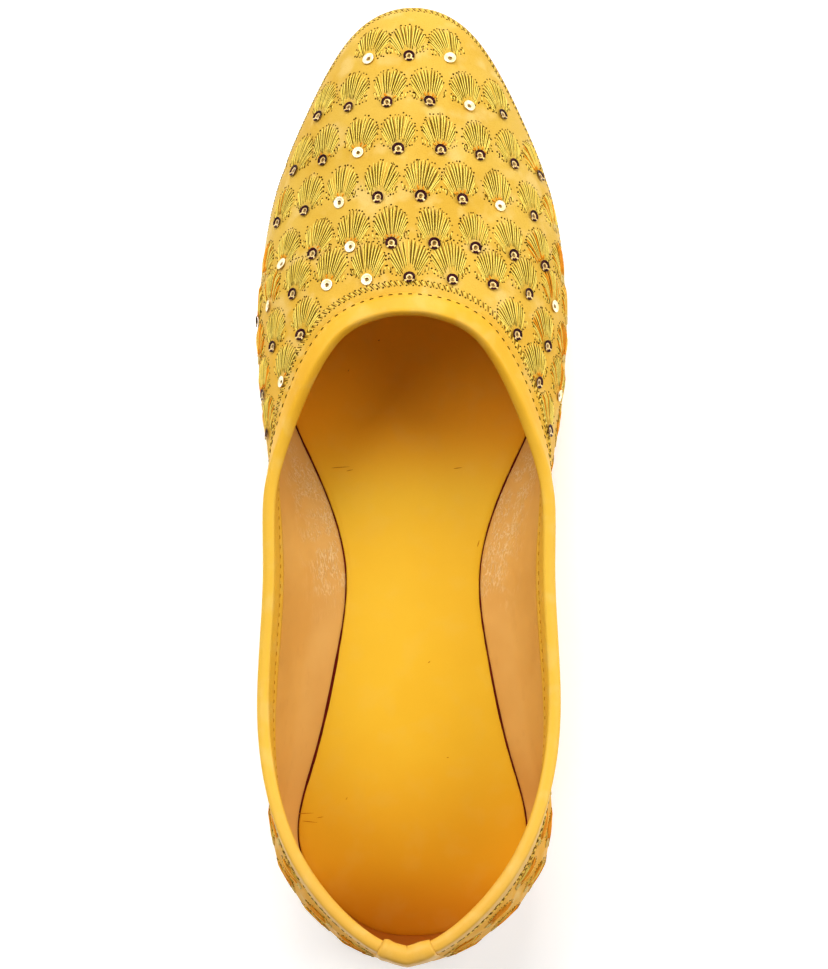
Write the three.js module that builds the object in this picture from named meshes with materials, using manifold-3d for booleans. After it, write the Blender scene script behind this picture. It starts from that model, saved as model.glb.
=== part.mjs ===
// A khussa: a flat slip-on shoe with a pointed toe, a low-cut throat and a soft back that rises to a peak.
// Millimetres, +Z up, toe towards +Y. The origin is on the floor, under the middle of the shoe.
// The last is straight, so the shoe fits either foot and the left half mirrors the right.
import * as THREE from "three";
import { mergeVertices } from "three/addons/utils/BufferGeometryUtils.js";
import Module from "manifold-3d";

const wasm = await Module();
wasm.setup();

// Driving dimensions
const length = 252; // toe tip to heel back, over the upper
const ballWidth = 79.2; // across the feather line, where the upper meets the sole
const throatHeight = 46.6; // top edge of the vamp over the instep, from the floor
const sideHeight = 39.6; // lowest stretch of the top line
const heelHeight = 57; // peak of the top line at the back
const wall = 1.8; // upper: outer leather, embroidery backing and lining together
const seat = 0.3; // clearance between neighbouring pieces

const sole = {
  foreThickness: 4, // from the stud tops to the upper's feather line
  heelThickness: 9.6,
  toeSpring: 7.5,
  toeSpringStart: 58, // where the sole leaves the floor behind the toe
  breast: -61, // front edge of the heel
  breastRun: 2, // length of its sloping front face
  breastStep: 2.4, // how far that face rises
  archLift: 4, // how far the waist clears the floor
  archPeak: -28, // where the waist is lifted most
  archEnd: 20, // where it comes back down to the floor
  rampStart: -69, // where the top starts down from the heel
  rampEnd: 22, // and where it has reached the forepart
  edgeDraft: 1.5, // how far the bottom edge sits inside the top edge
  edgeBevel: 1, // height of the bevel along the bottom edge
  overhang: 0.2, // how far the sole's top edge stands out past the feather line
};

const stud = {
  across: 7.8, // width of an oval stud
  along: 11, // its length
  height: 0.7,
  columnPitch: 12.4,
  rowPitch: 13.5,
  firstRow: 119.5, // row nearest the toe
  rowCount: 14,
  sides: 12,
  root: 1.2, // depth sunk into the sole
};

const insole = {
  thickness: 2.2,
  edgeGap: 0.4,
  toeEase: 0.8, // extra room at the toe, where the wall leans in
};

const binding = {
  outerLeg: 4.8, // width of the strip on the outside of the top line
  innerLeg: 5.2, // and on the inside
  thickness: 0.9,
};

const heelTab = {
  halfWidth: 7.2, // half the width of the strip that wraps over the back of the top line
  outerLeg: 13,
  innerLeg: 8,
  thickness: 0.8,
};

// Ribs of the last, from the middle of the heel round one side to the tip of the toe.
// along: share of the length from the middle. across: share of half the ball width.
// feather*: where the rib leaves the sole. rim*: where it ends at the top line.
// heelShare, throatShare: how far the rim climbs from the side height to the heel or throat height.
// riseTilt, riseReach: slope over the floor in degrees, and hold in mm, of the wall leaving the sole.
// rimTilt, rimReach: slope below level, and hold, of the wall as it leaves the rim on its way out and down.
const ribs = table(
  ["rib", "featherAcross", "featherAlong", "rimAcross", "rimAlong", "heelShare", "throatShare",
    "riseTilt", "riseReach", "rimTilt", "rimReach"],
  [
    ["heel back", 0, -0.4915, 0, -0.478, 1, 0, 74, 16, 74, 16],
    ["heel corner", 0.415, -0.4735, 0.355, -0.454, 0.93, 0, 70, 16, 74, 15],
    ["heel side", 0.81, -0.393, 0.75, -0.38, 0.62, 0, 63, 16, 77, 13],
    ["rear waist", 0.71, -0.29, 0.95, -0.278, 0.22, 0, 54, 16, 97, 12],
    ["waist back", 0.56, -0.183, 0.962, -0.183, 0.06, 0, 44, 15, 108, 13],
    ["waist", 0.515, -0.087, 0.936, -0.095, 0, 0.03, 43, 15, 109, 13],
    ["fore waist", 0.7, 0.004, 0.932, -0.02, 0, 0.09, 52, 14, 98, 13],
    ["joint", 0.89, 0.0735, 0.84, 0.038, 0, 0.3, 62, 15, 68, 14],
    ["ball", 1, 0.171, 0.665, 0.101, 0, 0.64, 73, 16, 45, 15],
    ["vamp", 0.945, 0.29, 0.45, 0.149, 0, 0.88, 83, 15, 30, 20],
    ["toe side", 0.71, 0.391, 0.23, 0.167, 0, 0.97, 86, 14, 22, 26],
    ["toe corner", 0.4, 0.4715, 0.094, 0.1715, 0, 1, 87, 13, 19, 30],
    ["toe tip", 0, 0.4995, 0, 0.172, 0, 1, 87, 13, 18, 32],
  ],
);

const loop = {
  ribCount: 2 * (ribs.length - 1),
  stepsPerRib: 5,
  wallSteps: 8,
  settle: 40, // passes that draw the smooth curves onto the ribs
  turnStep: 0.01, // small steps that slopes are measured over
  climbStep: 0.002,
};
const turns = Array.from({ length: loop.ribCount * loop.stepsPerRib }, (_, i) => i / loop.stepsPerRib);

const finish = {
  upper: { color: 0xf0b030, roughness: 0.55, metalness: 0 },
  smooth: { color: 0xf6bc3a, roughness: 0.42, metalness: 0 },
  footbed: { color: 0xf2b02c, roughness: 0.4, metalness: 0 },
  rubber: { color: 0xa98262, roughness: 0.75, metalness: 0 },
};

// Rows of values as objects with named columns
function table(columns, rows) {
  return rows.map((row) => Object.fromEntries(columns.map((name, i) => [name, row[i]])));
}

// A smooth closed curve through one value per rib, going round by the left side and back by the right.
// Cubic B-spline control values are settled until the curve passes through every rib.
function aroundLoop(valueOf, leftSign) {
  const right = ribs.map(valueOf);
  const left = right.map((value) => leftSign * value);
  const target = [...left, ...right.slice(1, -1).reverse()];
  const n = target.length;
  const control = [...target];
  const near = (i) => control[(i + n) % n];
  for (let pass = 0; pass < loop.settle; pass++) {
    const miss = target.map((value, i) => value - (near(i - 1) + 4 * near(i) + near(i + 1)) / 6);
    miss.forEach((value, i) => (control[i] += value));
  }
  return (turn) => {
    const i = Math.floor(turn);
    const f = turn - i;
    const g = 1 - f;
    const before = g ** 3;
    const here = 3 * f ** 3 - 6 * f ** 2 + 4;
    const next = 3 * g ** 3 - 6 * g ** 2 + 4;
    return (before * near(i - 1) + here * near(i) + next * near(i + 1) + f ** 3 * near(i + 2)) / 6;
  };
}

const rimHeight = (rib) =>
  sideHeight + (heelHeight - sideHeight) * rib.heelShare + (throatHeight - sideHeight) * rib.throatShare;

const around = {
  featherX: aroundLoop((rib) => (rib.featherAcross * ballWidth) / 2, -1),
  featherY: aroundLoop((rib) => rib.featherAlong * length, 1),
  rimX: aroundLoop((rib) => (rib.rimAcross * ballWidth) / 2, -1),
  rimY: aroundLoop((rib) => rib.rimAlong * length, 1),
  rimZ: aroundLoop(rimHeight, 1),
  riseTilt: aroundLoop((rib) => rib.riseTilt, 1),
  riseReach: aroundLoop((rib) => rib.riseReach, 1),
  rimTilt: aroundLoop((rib) => rib.rimTilt, 1),
  rimReach: aroundLoop((rib) => rib.rimReach, 1),
};

const smoothStep = (from, to, value) => THREE.MathUtils.smoothstep(value, from, to);

// Lift of the sole towards the tip of the toe
function toeLift(y) {
  const run = Math.max(0, (y - sole.toeSpringStart) / (length / 2 - sole.toeSpringStart));
  return sole.toeSpring * run ** 2;
}

// Height of the surface that the stud tops and the heel stand on
function treadHeight(y) {
  const step = sole.breastStep * smoothStep(sole.breast, sole.breast + sole.breastRun, y);
  const waist = step + (sole.archLift - sole.breastStep) * smoothStep(sole.breast, sole.archPeak, y);
  return toeLift(y) + waist * (1 - smoothStep(sole.archPeak, sole.archEnd, y));
}

// Height of the sole's underside: the heel's flat base, and the ground between the studs
function fieldHeight(y) {
  return treadHeight(y) + stud.height * smoothStep(sole.breast, sole.breast + sole.breastRun, y);
}

// Height of the sole's top face, which the upper and the insole stand on
function topHeight(y) {
  const ramp = smoothStep(sole.rampStart, sole.rampEnd, y);
  return THREE.MathUtils.lerp(sole.heelThickness, sole.foreThickness, ramp) + toeLift(y);
}

// Level direction that points away from the inside of a closed curve
function outward(curveX, curveY, turn) {
  const before = turn - loop.turnStep + loop.ribCount;
  const after = turn + loop.turnStep;
  const dx = curveX(after) - curveX(before);
  const dy = curveY(after) - curveY(before);
  return new THREE.Vector3(-dy, dx, 0).normalize();
}

const featherPoint = (turn) => new THREE.Vector3(around.featherX(turn), around.featherY(turn), 0);
const featherOut = (turn) => outward(around.featherX, around.featherY, turn);

// A point of the upper's outer face: turn counts ribs round the shoe, climb runs from sole 0 to rim 1
function upperPoint(turn, climb) {
  const feather = featherPoint(turn);
  feather.z = topHeight(feather.y) + seat;
  const rim = new THREE.Vector3(around.rimX(turn), around.rimY(turn), around.rimZ(turn));
  const rise = THREE.MathUtils.degToRad(around.riseTilt(turn));
  const fall = THREE.MathUtils.degToRad(around.rimTilt(turn));
  const riseHold = featherOut(turn).multiplyScalar(Math.cos(rise)).setZ(Math.sin(rise));
  const rimOut = outward(around.rimX, around.rimY, turn);
  const rimHold = rimOut.multiplyScalar(Math.cos(fall)).setZ(-Math.sin(fall));
  const lower = feather.clone().addScaledVector(riseHold, around.riseReach(turn));
  const upper = rim.clone().addScaledVector(rimHold, around.rimReach(turn));
  return new THREE.CubicBezierCurve3(feather, lower, upper, rim).getPoint(climb);
}

// Outward normal of the upper, and the direction up the wall
function upperFrame(turn, climb) {
  const low = Math.max(0, climb - loop.climbStep);
  const high = Math.min(1, climb + loop.climbStep);
  const up = upperPoint(turn, high).sub(upperPoint(turn, low)).normalize();
  const before = turn - loop.turnStep + loop.ribCount;
  const round = upperPoint(turn + loop.turnStep, climb).sub(upperPoint(before, climb));
  return { up, normal: up.clone().cross(round).normalize() };
}

// A point at a depth inside the upper's outer face, or outside it where the depth is negative
function wallPoint(turn, climb, depth) {
  return upperPoint(turn, climb).addScaledVector(upperFrame(turn, climb).normal, -depth);
}

// The climb that lies a distance down the wall from the rim
function climbBelowRim(turn, distance) {
  const rim = upperPoint(turn, 1);
  let low = 0;
  let high = 1;
  for (let pass = 0; pass < 20; pass++) {
    const middle = (low + high) / 2;
    if (upperPoint(turn, middle).distanceTo(rim) > distance) low = middle;
    else high = middle;
  }
  return high;
}

// Joins rings of equal count into one closed surface. A tube of rings either closes on itself or is
// capped at both ends by zipping each ring's point k to its point n - k.
function skin(rings, closed) {
  const n = rings[0].length;
  const triangles = [];
  const quad = (a, b, c, d) => triangles.push(a, b, c, a, c, d);
  const last = closed ? rings.length : rings.length - 1;
  for (let r = 0; r < last; r++) {
    const low = r * n;
    const high = ((r + 1) % rings.length) * n;
    for (let i = 0; i < n; i++) {
      const j = (i + 1) % n;
      quad(low + i, low + j, high + j, high + i);
    }
  }
  if (!closed) {
    const zip = (start, flip) => {
      for (let k = 0; k < n / 2; k++) {
        const corners = [k, k + 1, n - k - 1, (n - k) % n].map((i) => start + i);
        const [a, b, c, d] = flip ? corners : [...corners].reverse();
        if (b !== c) triangles.push(a, b, c);
        if (a !== d && c !== d) triangles.push(a, c, d);
      }
    };
    zip(0, false);
    zip((rings.length - 1) * n, true);
  }
  return closedGeometry(rings.flat(), triangles);
}

// Geometry from points and triangles, without slivers and with its faces turned outward
function closedGeometry(points, triangles) {
  const kept = [];
  let volume = 0;
  for (let i = 0; i < triangles.length; i += 3) {
    const [a, b, c] = triangles.slice(i, i + 3);
    if (a === b || b === c || a === c) continue;
    kept.push([a, b, c]);
    volume += points[a].dot(points[b].clone().cross(points[c]));
  }
  const index = kept.flatMap(([a, b, c]) => (volume < 0 ? [a, c, b] : [a, b, c]));
  return new THREE.BufferGeometry().setFromPoints(points).setIndex(index);
}

function solidFrom(geometry) {
  const bare = geometry.clone();
  bare.deleteAttribute("normal");
  bare.deleteAttribute("uv");
  const merged = mergeVertices(bare, 1e-4);
  return new wasm.Manifold(
    new wasm.Mesh({
      numProp: 3,
      vertProperties: new Float32Array(merged.attributes.position.array),
      triVerts: new Uint32Array(merged.index.array),
    }),
  );
}

function geometryFrom(solid) {
  const mesh = solid.getMesh();
  return new THREE.BufferGeometry()
    .setAttribute("position", new THREE.BufferAttribute(mesh.vertProperties, 3))
    .setIndex(new THREE.BufferAttribute(mesh.triVerts, 1));
}

// The upper: one wall round the foot, open at the top line and underneath
function upperGeometry() {
  const climbs = Array.from({ length: loop.wallSteps + 1 }, (_, i) => i / loop.wallSteps);
  const outer = climbs.map((climb) => turns.map((turn) => upperPoint(turn, climb)));
  const inner = climbs.map((climb) => turns.map((turn) => wallPoint(turn, climb, wall)));
  inner[0].forEach((point) => point.setZ(topHeight(point.y) + seat));
  return skin([...outer, ...inner.reverse()], true);
}

// The binding: a strip folded over the top line, down the outside and down the inside
function bindingGeometry() {
  const face = seat + binding.thickness;
  const sections = turns.map((turn) => {
    const outerFoot = climbBelowRim(turn, binding.outerLeg);
    const innerFoot = climbBelowRim(turn, binding.innerLeg);
    const { up, normal } = upperFrame(turn, 1);
    const crest = (depth, lift) =>
      upperPoint(turn, 1).addScaledVector(normal, -depth).addScaledVector(up, lift);
    return [
      wallPoint(turn, outerFoot, -face),
      crest(-face, -0.3 * binding.outerLeg),
      crest(-seat, face),
      crest(wall + seat, face),
      crest(wall + face, -0.3 * binding.innerLeg),
      wallPoint(turn, innerFoot, wall + face),
      wallPoint(turn, innerFoot, wall + seat),
      crest(wall + seat, seat),
      crest(-seat, seat),
      wallPoint(turn, outerFoot, -seat),
    ];
  });
  const rings = sections[0].map((_, k) => sections.map((section) => section[k]));
  return skin(rings, true);
}

// The tab: a short strip wrapped over the binding's joint at the back of the heel
function heelTabGeometry() {
  const clear = 2 * seat + binding.thickness;
  const face = clear + heelTab.thickness;
  const reach = heelTab.halfWidth / upperPoint(0, 1).distanceTo(upperPoint(1, 1));
  const stripTurns = [-1, -0.75, -0.5, -0.25, 0, 0.25, 0.5, 0.75, 1].map((share) => share * reach);
  const rings = stripTurns.map((signedTurn) => {
    const turn = (signedTurn + loop.ribCount) % loop.ribCount;
    const outerFoot = climbBelowRim(turn, heelTab.outerLeg);
    const middle = climbBelowRim(turn, binding.outerLeg + 1);
    const innerFoot = climbBelowRim(turn, heelTab.innerLeg);
    const { up, normal } = upperFrame(turn, 1);
    const crest = (depth, lift) =>
      upperPoint(turn, 1).addScaledVector(normal, -depth).addScaledVector(up, lift);
    return [
      wallPoint(turn, outerFoot, -(seat + heelTab.thickness / 2)),
      wallPoint(turn, outerFoot, -(seat + heelTab.thickness)),
      wallPoint(turn, middle, -face),
      crest(-face, 0),
      crest(-seat, face),
      crest(wall + seat, face),
      crest(wall + face, 0),
      wallPoint(turn, innerFoot, wall + face),
      wallPoint(turn, innerFoot, wall + face - heelTab.thickness / 2),
      wallPoint(turn, innerFoot, wall + clear),
      crest(wall + clear, 0),
      crest(wall + seat, clear),
      crest(-seat, clear),
      crest(-clear, 0),
      wallPoint(turn, middle, -clear),
      wallPoint(turn, outerFoot, -seat),
    ];
  });
  return skin(rings, false);
}

// A ring of the sole or insole: the feather line moved in by an inset, at a height worked out from y
function soleRing(insetAt, heightAt) {
  return turns.map((turn) => {
    const point = featherPoint(turn);
    point.addScaledVector(featherOut(turn), -insetAt(point.y));
    return point.setZ(heightAt(point.y));
  });
}

// The insole: a thin sock that lies on the sole inside the upper's wall
function insoleGeometry() {
  const inset = (y) => wall + insole.edgeGap + insole.toeEase * smoothStep(80, 115, y);
  const bottom = soleRing(inset, (y) => topHeight(y) + seat);
  const top = soleRing(inset, (y) => topHeight(y) + seat + insole.thickness);
  return skin([bottom, top], false);
}

// Centres of the oval studs: staggered rows from the toe to the front of the heel
function studCentres() {
  const centres = [];
  const most = Math.ceil(ballWidth / stud.columnPitch / 2);
  for (let row = 0; row < stud.rowCount; row++) {
    const y = stud.firstRow - row * stud.rowPitch;
    const stagger = row % 2 ? 0 : 0.5;
    for (let column = -most; column <= most; column++) {
      centres.push(new THREE.Vector2((column + stagger) * stud.columnPitch, y));
    }
  }
  return centres;
}

// One oval stud, laid along the local slope of the tread
function studSolid(centre) {
  const oval = new THREE.Shape();
  oval.absellipse(0, 0, stud.across / 2, stud.along / 2, 0, 2 * Math.PI);
  const depth = stud.height + stud.root;
  const curveSegments = stud.sides / 2;
  const geometry = new THREE.ExtrudeGeometry(oval, { depth, curveSegments, bevelEnabled: false });
  const front = treadHeight(centre.y + stud.along / 2);
  const rear = treadHeight(centre.y - stud.along / 2);
  geometry.rotateX(Math.atan2(front - rear, stud.along));
  geometry.translate(centre.x, centre.y, (front + rear) / 2);
  return solidFrom(geometry);
}

// The outsole: forepart, waist and low heel moulded whole, with studs ahead of the heel
function outsoleGeometry() {
  const draft = sole.edgeDraft;
  const tread = () => draft + sole.edgeBevel;
  const body = skin(
    [
      soleRing(tread, fieldHeight),
      soleRing(() => draft, (y) => fieldHeight(y) + sole.edgeBevel),
      soleRing(() => -sole.overhang, topHeight),
    ],
    false,
  );
  const core = solidFrom(skin([soleRing(tread, () => -1), soleRing(tread, (y) => topHeight(y) - 1)], false));
  const inside = (centre) => {
    const half = stud.across / 2;
    const onSole = solidFrom(new THREE.BoxGeometry(half, half, 60).translate(centre.x, centre.y, 0));
    return !onSole.intersect(core).isEmpty();
  };
  const studs = studCentres().filter(inside).map((centre) => studSolid(centre).intersect(core));
  return geometryFrom(studs.reduce((whole, one) => whole.add(one), solidFrom(body)));
}

function piece(name, geometry, look) {
  const mesh = new THREE.Mesh(geometry, new THREE.MeshStandardMaterial(look));
  mesh.name = name;
  return mesh;
}

const khussa = new THREE.Group();
khussa.add(
  piece("outsole", outsoleGeometry(), finish.rubber),
  piece("insole", insoleGeometry(), finish.footbed),
  piece("upper", upperGeometry(), finish.upper),
  piece("collar_binding", bindingGeometry(), finish.smooth),
  piece("heel_tab", heelTabGeometry(), finish.smooth),
);

export default khussa;
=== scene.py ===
import bmesh
import bpy
import numpy as np
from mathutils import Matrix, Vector


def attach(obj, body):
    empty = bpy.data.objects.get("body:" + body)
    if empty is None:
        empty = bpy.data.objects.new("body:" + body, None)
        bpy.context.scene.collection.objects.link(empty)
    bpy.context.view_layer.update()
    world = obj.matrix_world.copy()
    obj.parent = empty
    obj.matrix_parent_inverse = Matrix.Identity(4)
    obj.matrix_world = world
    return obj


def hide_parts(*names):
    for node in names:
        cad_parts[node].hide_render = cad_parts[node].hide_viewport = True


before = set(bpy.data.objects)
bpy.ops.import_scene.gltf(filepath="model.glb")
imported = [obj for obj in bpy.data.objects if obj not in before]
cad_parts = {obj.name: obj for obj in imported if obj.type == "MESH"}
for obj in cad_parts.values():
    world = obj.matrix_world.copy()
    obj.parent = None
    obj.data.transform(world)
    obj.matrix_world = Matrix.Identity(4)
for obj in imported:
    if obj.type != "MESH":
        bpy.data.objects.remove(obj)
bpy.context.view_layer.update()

rng = np.random.default_rng(11)
mm = 0.001  # everything below is worked out in millimetres
up = np.array([0.0, 0.0, 1.0])
forward = np.array([0.0, 1.0, 0.0])  # from heel to toe

# The last, with the same sizes as the solids
last = {
    "length": 252.0,
    "ballWidth": 79.2,
    "throatHeight": 46.6,
    "sideHeight": 39.6,
    "heelHeight": 57.0,
    "wall": 1.8,
    "seat": 0.3,
    "backPeak": 0.9,  # how far the back seam is pulled to a point at the top
    "backReach": 3.5,  # how far that carries to either side
    "backStart": 0.45,  # the climb where it starts
    "turnNudge": 0.01,  # small steps that slopes are measured over
    "climbNudge": 0.002,
}
ribColumns = (
    "featherAcross", "featherAlong", "rimAcross", "rimAlong", "heelShare", "throatShare",
    "riseTilt", "riseReach", "rimTilt", "rimReach",
)
ribRows = np.array([
    (0, -0.4915, 0, -0.478, 1, 0, 74, 16, 74, 16),  # heel back
    (0.415, -0.4735, 0.355, -0.454, 0.93, 0, 70, 16, 74, 15),
    (0.81, -0.393, 0.75, -0.38, 0.62, 0, 63, 16, 77, 13),
    (0.71, -0.29, 0.95, -0.278, 0.22, 0, 54, 16, 97, 12),
    (0.56, -0.183, 0.962, -0.183, 0.06, 0, 44, 15, 108, 13),
    (0.515, -0.087, 0.936, -0.095, 0, 0.03, 43, 15, 109, 13),  # waist
    (0.7, 0.004, 0.932, -0.02, 0, 0.09, 52, 14, 98, 13),
    (0.89, 0.0735, 0.84, 0.038, 0, 0.3, 62, 15, 68, 14),
    (1, 0.171, 0.665, 0.101, 0, 0.64, 73, 16, 45, 15),  # ball
    (0.945, 0.29, 0.45, 0.149, 0, 0.88, 83, 15, 30, 20),
    (0.71, 0.391, 0.23, 0.167, 0, 0.97, 86, 14, 22, 26),
    (0.4, 0.4715, 0.094, 0.1715, 0, 1, 87, 13, 19, 30),
    (0, 0.4995, 0, 0.172, 0, 1, 87, 13, 18, 32),  # toe tip
])
rib = dict(zip(ribColumns, ribRows.T))
ribCount = 2 * (len(ribRows) - 1)
toeRib = ribCount // 2


def unit(v):
    return v / np.linalg.norm(v, axis=-1, keepdims=True)


def dot(a, b):
    return (a * b).sum(-1, keepdims=True)


def smoothStep(start, end, value):
    t = np.clip((value - start) / (end - start), 0, 1)
    return t * t * (3 - 2 * t)


def window(start, full, less, end, value):  # 0 outside, 1 from full to less, eased
    return smoothStep(start, full, value) * (1 - smoothStep(less, end, value))


def turnsRound(count):  # even steps once round the shoe
    return np.arange(count) * ribCount / count


def runAlong(path):  # the length walked to each point of a path
    return np.concatenate([[0], np.cumsum(np.linalg.norm(np.diff(path, axis=0), axis=1))])


def loopCurve(column, leftSign=1):
    target = np.concatenate([leftSign * column, column[-2:0:-1]])
    control = target.copy()
    for _ in range(40):  # settles the smooth curve onto the ribs
        control += target - (np.roll(control, 1) + 4 * control + np.roll(control, -1)) / 6

    def at(turn):
        i = np.floor(turn).astype(int)
        f = turn - i
        g = 1 - f
        near = [control[(i + k) % ribCount] for k in (-1, 0, 1, 2)]
        share = (g**3, 3 * f**3 - 6 * f**2 + 4, 3 * g**3 - 6 * g**2 + 4, f**3)
        return sum(a * b for a, b in zip(near, share)) / 6
    return at


rimRise = last["sideHeight"] + (last["heelHeight"] - last["sideHeight"]) * rib["heelShare"]
rimRise = rimRise + (last["throatHeight"] - last["sideHeight"]) * rib["throatShare"]
around = {
    "featherX": loopCurve(rib["featherAcross"] * last["ballWidth"] / 2, -1),
    "featherY": loopCurve(rib["featherAlong"] * last["length"]),
    "rimX": loopCurve(rib["rimAcross"] * last["ballWidth"] / 2, -1),
    "rimY": loopCurve(rib["rimAlong"] * last["length"]),
    "rimZ": loopCurve(rimRise),
    **{name: loopCurve(rib[name]) for name in ("riseTilt", "riseReach", "rimTilt", "rimReach")},
}

soleShape = {
    "foreThickness": 4.0,
    "heelThickness": 9.6,
    "toeSpring": 7.5,
    "toeSpringStart": 58.0,
    "breast": -61.0,  # front of the heel
    "breastRun": 2.0,
    "breastStep": 2.4,
    "archLift": 4.0,
    "archPeak": -28.0,
    "archEnd": 20.0,
    "rampStart": -69.0,
    "rampEnd": 22.0,
    "edgeDraft": 1.5,
    "edgeBevel": 1.0,
    "overhang": 0.2,
    "studHeight": 0.7,
    "bedClear": 0.05,  # the upper and its lining stand this far over the sole
}


def toeLift(y):
    start = soleShape["toeSpringStart"]
    run = np.maximum(0, (y - start) / (last["length"] / 2 - start))
    return soleShape["toeSpring"] * run**2


def treadHeight(y):
    breast, peak = soleShape["breast"], soleShape["archPeak"]
    step = soleShape["breastStep"] * smoothStep(breast, breast + soleShape["breastRun"], y)
    waist = step + (soleShape["archLift"] - soleShape["breastStep"]) * smoothStep(breast, peak, y)
    return toeLift(y) + waist * (1 - smoothStep(peak, soleShape["archEnd"], y))


def fieldHeight(y):
    breast = soleShape["breast"]
    return treadHeight(y) + soleShape["studHeight"] * smoothStep(breast, breast + soleShape["breastRun"], y)


def topHeight(y):
    heel, fore = soleShape["heelThickness"], soleShape["foreThickness"]
    ramp = smoothStep(soleShape["rampStart"], soleShape["rampEnd"], y)
    return heel + (fore - heel) * ramp + toeLift(y)


def outward(curveX, curveY, turn):
    before, after = turn - last["turnNudge"], turn + last["turnNudge"]
    dx = around[curveX](after) - around[curveX](before)
    dy = around[curveY](after) - around[curveY](before)
    return unit(np.stack([-dy, dx, np.zeros_like(dx)], -1))


def upperPoint(turn, climb):  # turn counts ribs round the shoe, climb runs from sole 0 to rim 1
    turn, climb = np.broadcast_arrays(np.asarray(turn, float), np.asarray(climb, float))
    featherY = around["featherY"](turn)
    feather = np.stack([around["featherX"](turn), featherY, topHeight(featherY) + last["seat"]], -1)
    rim = np.stack([around[name](turn) for name in ("rimX", "rimY", "rimZ")], -1)
    rise = np.radians(around["riseTilt"](turn))[..., None]
    fall = np.radians(around["rimTilt"](turn))[..., None]
    riseHold = outward("featherX", "featherY", turn) * np.cos(rise) + up * np.sin(rise)
    rimHold = outward("rimX", "rimY", turn) * np.cos(fall) - up * np.sin(fall)
    lower = feather + riseHold * around["riseReach"](turn)[..., None]
    upper = rim + rimHold * around["rimReach"](turn)[..., None]
    c = climb[..., None]
    b = 1 - c
    point = b**3 * feather + 3 * b * b * c * lower + 3 * b * c * c * upper + c**3 * rim
    fromSeam = np.sqrt(point[..., 0] ** 2 + 0.1) - 0.3  # rounded at the seam itself
    nearSeam = np.exp(-fromSeam / last["backReach"]) * (point[..., 1] < 0)
    point[..., 1] -= last["backPeak"] * nearSeam * smoothStep(last["backStart"], 1, climb)
    return point


def upperFrame(turn, climb):  # point, outward normal, and how the point moves with turn and climb
    turn, climb = np.broadcast_arrays(np.asarray(turn, float), np.asarray(climb, float))
    aside, rise = last["turnNudge"], 2 * last["climbNudge"]
    low = np.clip(climb - last["climbNudge"], 0, 1 - rise)
    alongClimb = (upperPoint(turn, low + rise) - upperPoint(turn, low)) / rise
    alongTurn = (upperPoint(turn + aside, climb) - upperPoint(turn - aside, climb)) / (2 * aside)
    return upperPoint(turn, climb), unit(np.cross(alongClimb, alongTurn)), alongTurn, alongClimb


def wallPoint(turn, climb, depth):
    point, normal, _, _ = upperFrame(turn, climb)
    return point - depth * normal


def climbBelowRim(turn, distance):
    rim = upperPoint(turn, 1)
    low, high = np.zeros_like(turn), np.ones_like(turn)
    for _ in range(20):
        middle = (low + high) / 2
        far = np.linalg.norm(upperPoint(turn, middle) - rim, axis=-1) > distance
        low, high = np.where(far, middle, low), np.where(far, high, middle)
    return high


def climbAboveSole(turn, distance):  # the climb a distance up the curved wall, and the wall's height
    steps = np.linspace(0, 1, 81)
    path = upperPoint(np.asarray(turn)[:, None], steps[None, :])
    runs = [runAlong(p) for p in path]
    return np.array([np.interp(distance, run, steps) for run in runs]), np.array([run[-1] for run in runs])


def roundRun(climbAt):  # fine turns once round the shoe, and the length walked to each
    fine = np.arange(0, ribCount, 0.02)
    path = upperPoint(fine, climbAt(fine))
    return np.append(fine, ribCount), runAlong(np.concatenate([path, path[:1]]))


def walkOver(turn, climb, heading, radii):  # straight paths over the leather, one point at each radius
    turns, climbs, gone = [], [], np.zeros(len(turn))
    for k in range(radii.shape[1]):
        pieces = 3 if k == 0 else 1
        for _ in range(pieces):
            _, normal, alongTurn, alongClimb = upperFrame(turn, climb)
            heading = unit(heading - dot(heading, normal) * normal)
            step = heading * ((radii[:, k] - gone) / pieces)[:, None]
            tt, cc, tc = dot(alongTurn, alongTurn), dot(alongClimb, alongClimb), dot(alongTurn, alongClimb)
            st, sc = dot(step, alongTurn), dot(step, alongClimb)
            det = tt * cc - tc * tc
            turn = turn + ((st * cc - sc * tc) / det)[:, 0]
            climb = climb + ((sc * tt - st * tc) / det)[:, 0]
        gone = radii[:, k]
        turns.append(turn)
        climbs.append(climb)
    return np.stack(turns, 1), np.stack(climbs, 1)


def edgeDistances(turn, climb):  # straight distances to the sole's edge and to the rim
    point = upperPoint(turn, climb)
    return [np.linalg.norm(point - upperPoint(turn, end), axis=-1) for end in (0, 1)]


def clearOf(turns, climbs, soleClear, rimClear):  # places on the leather that keep off both its edges
    below, above = edgeDistances(turns, np.clip(climbs, 0, 1))
    return (below > soleClear) & (above > rimClear) & (climbs > 0) & (climbs < 1)


print("last: curves ready")


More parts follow.
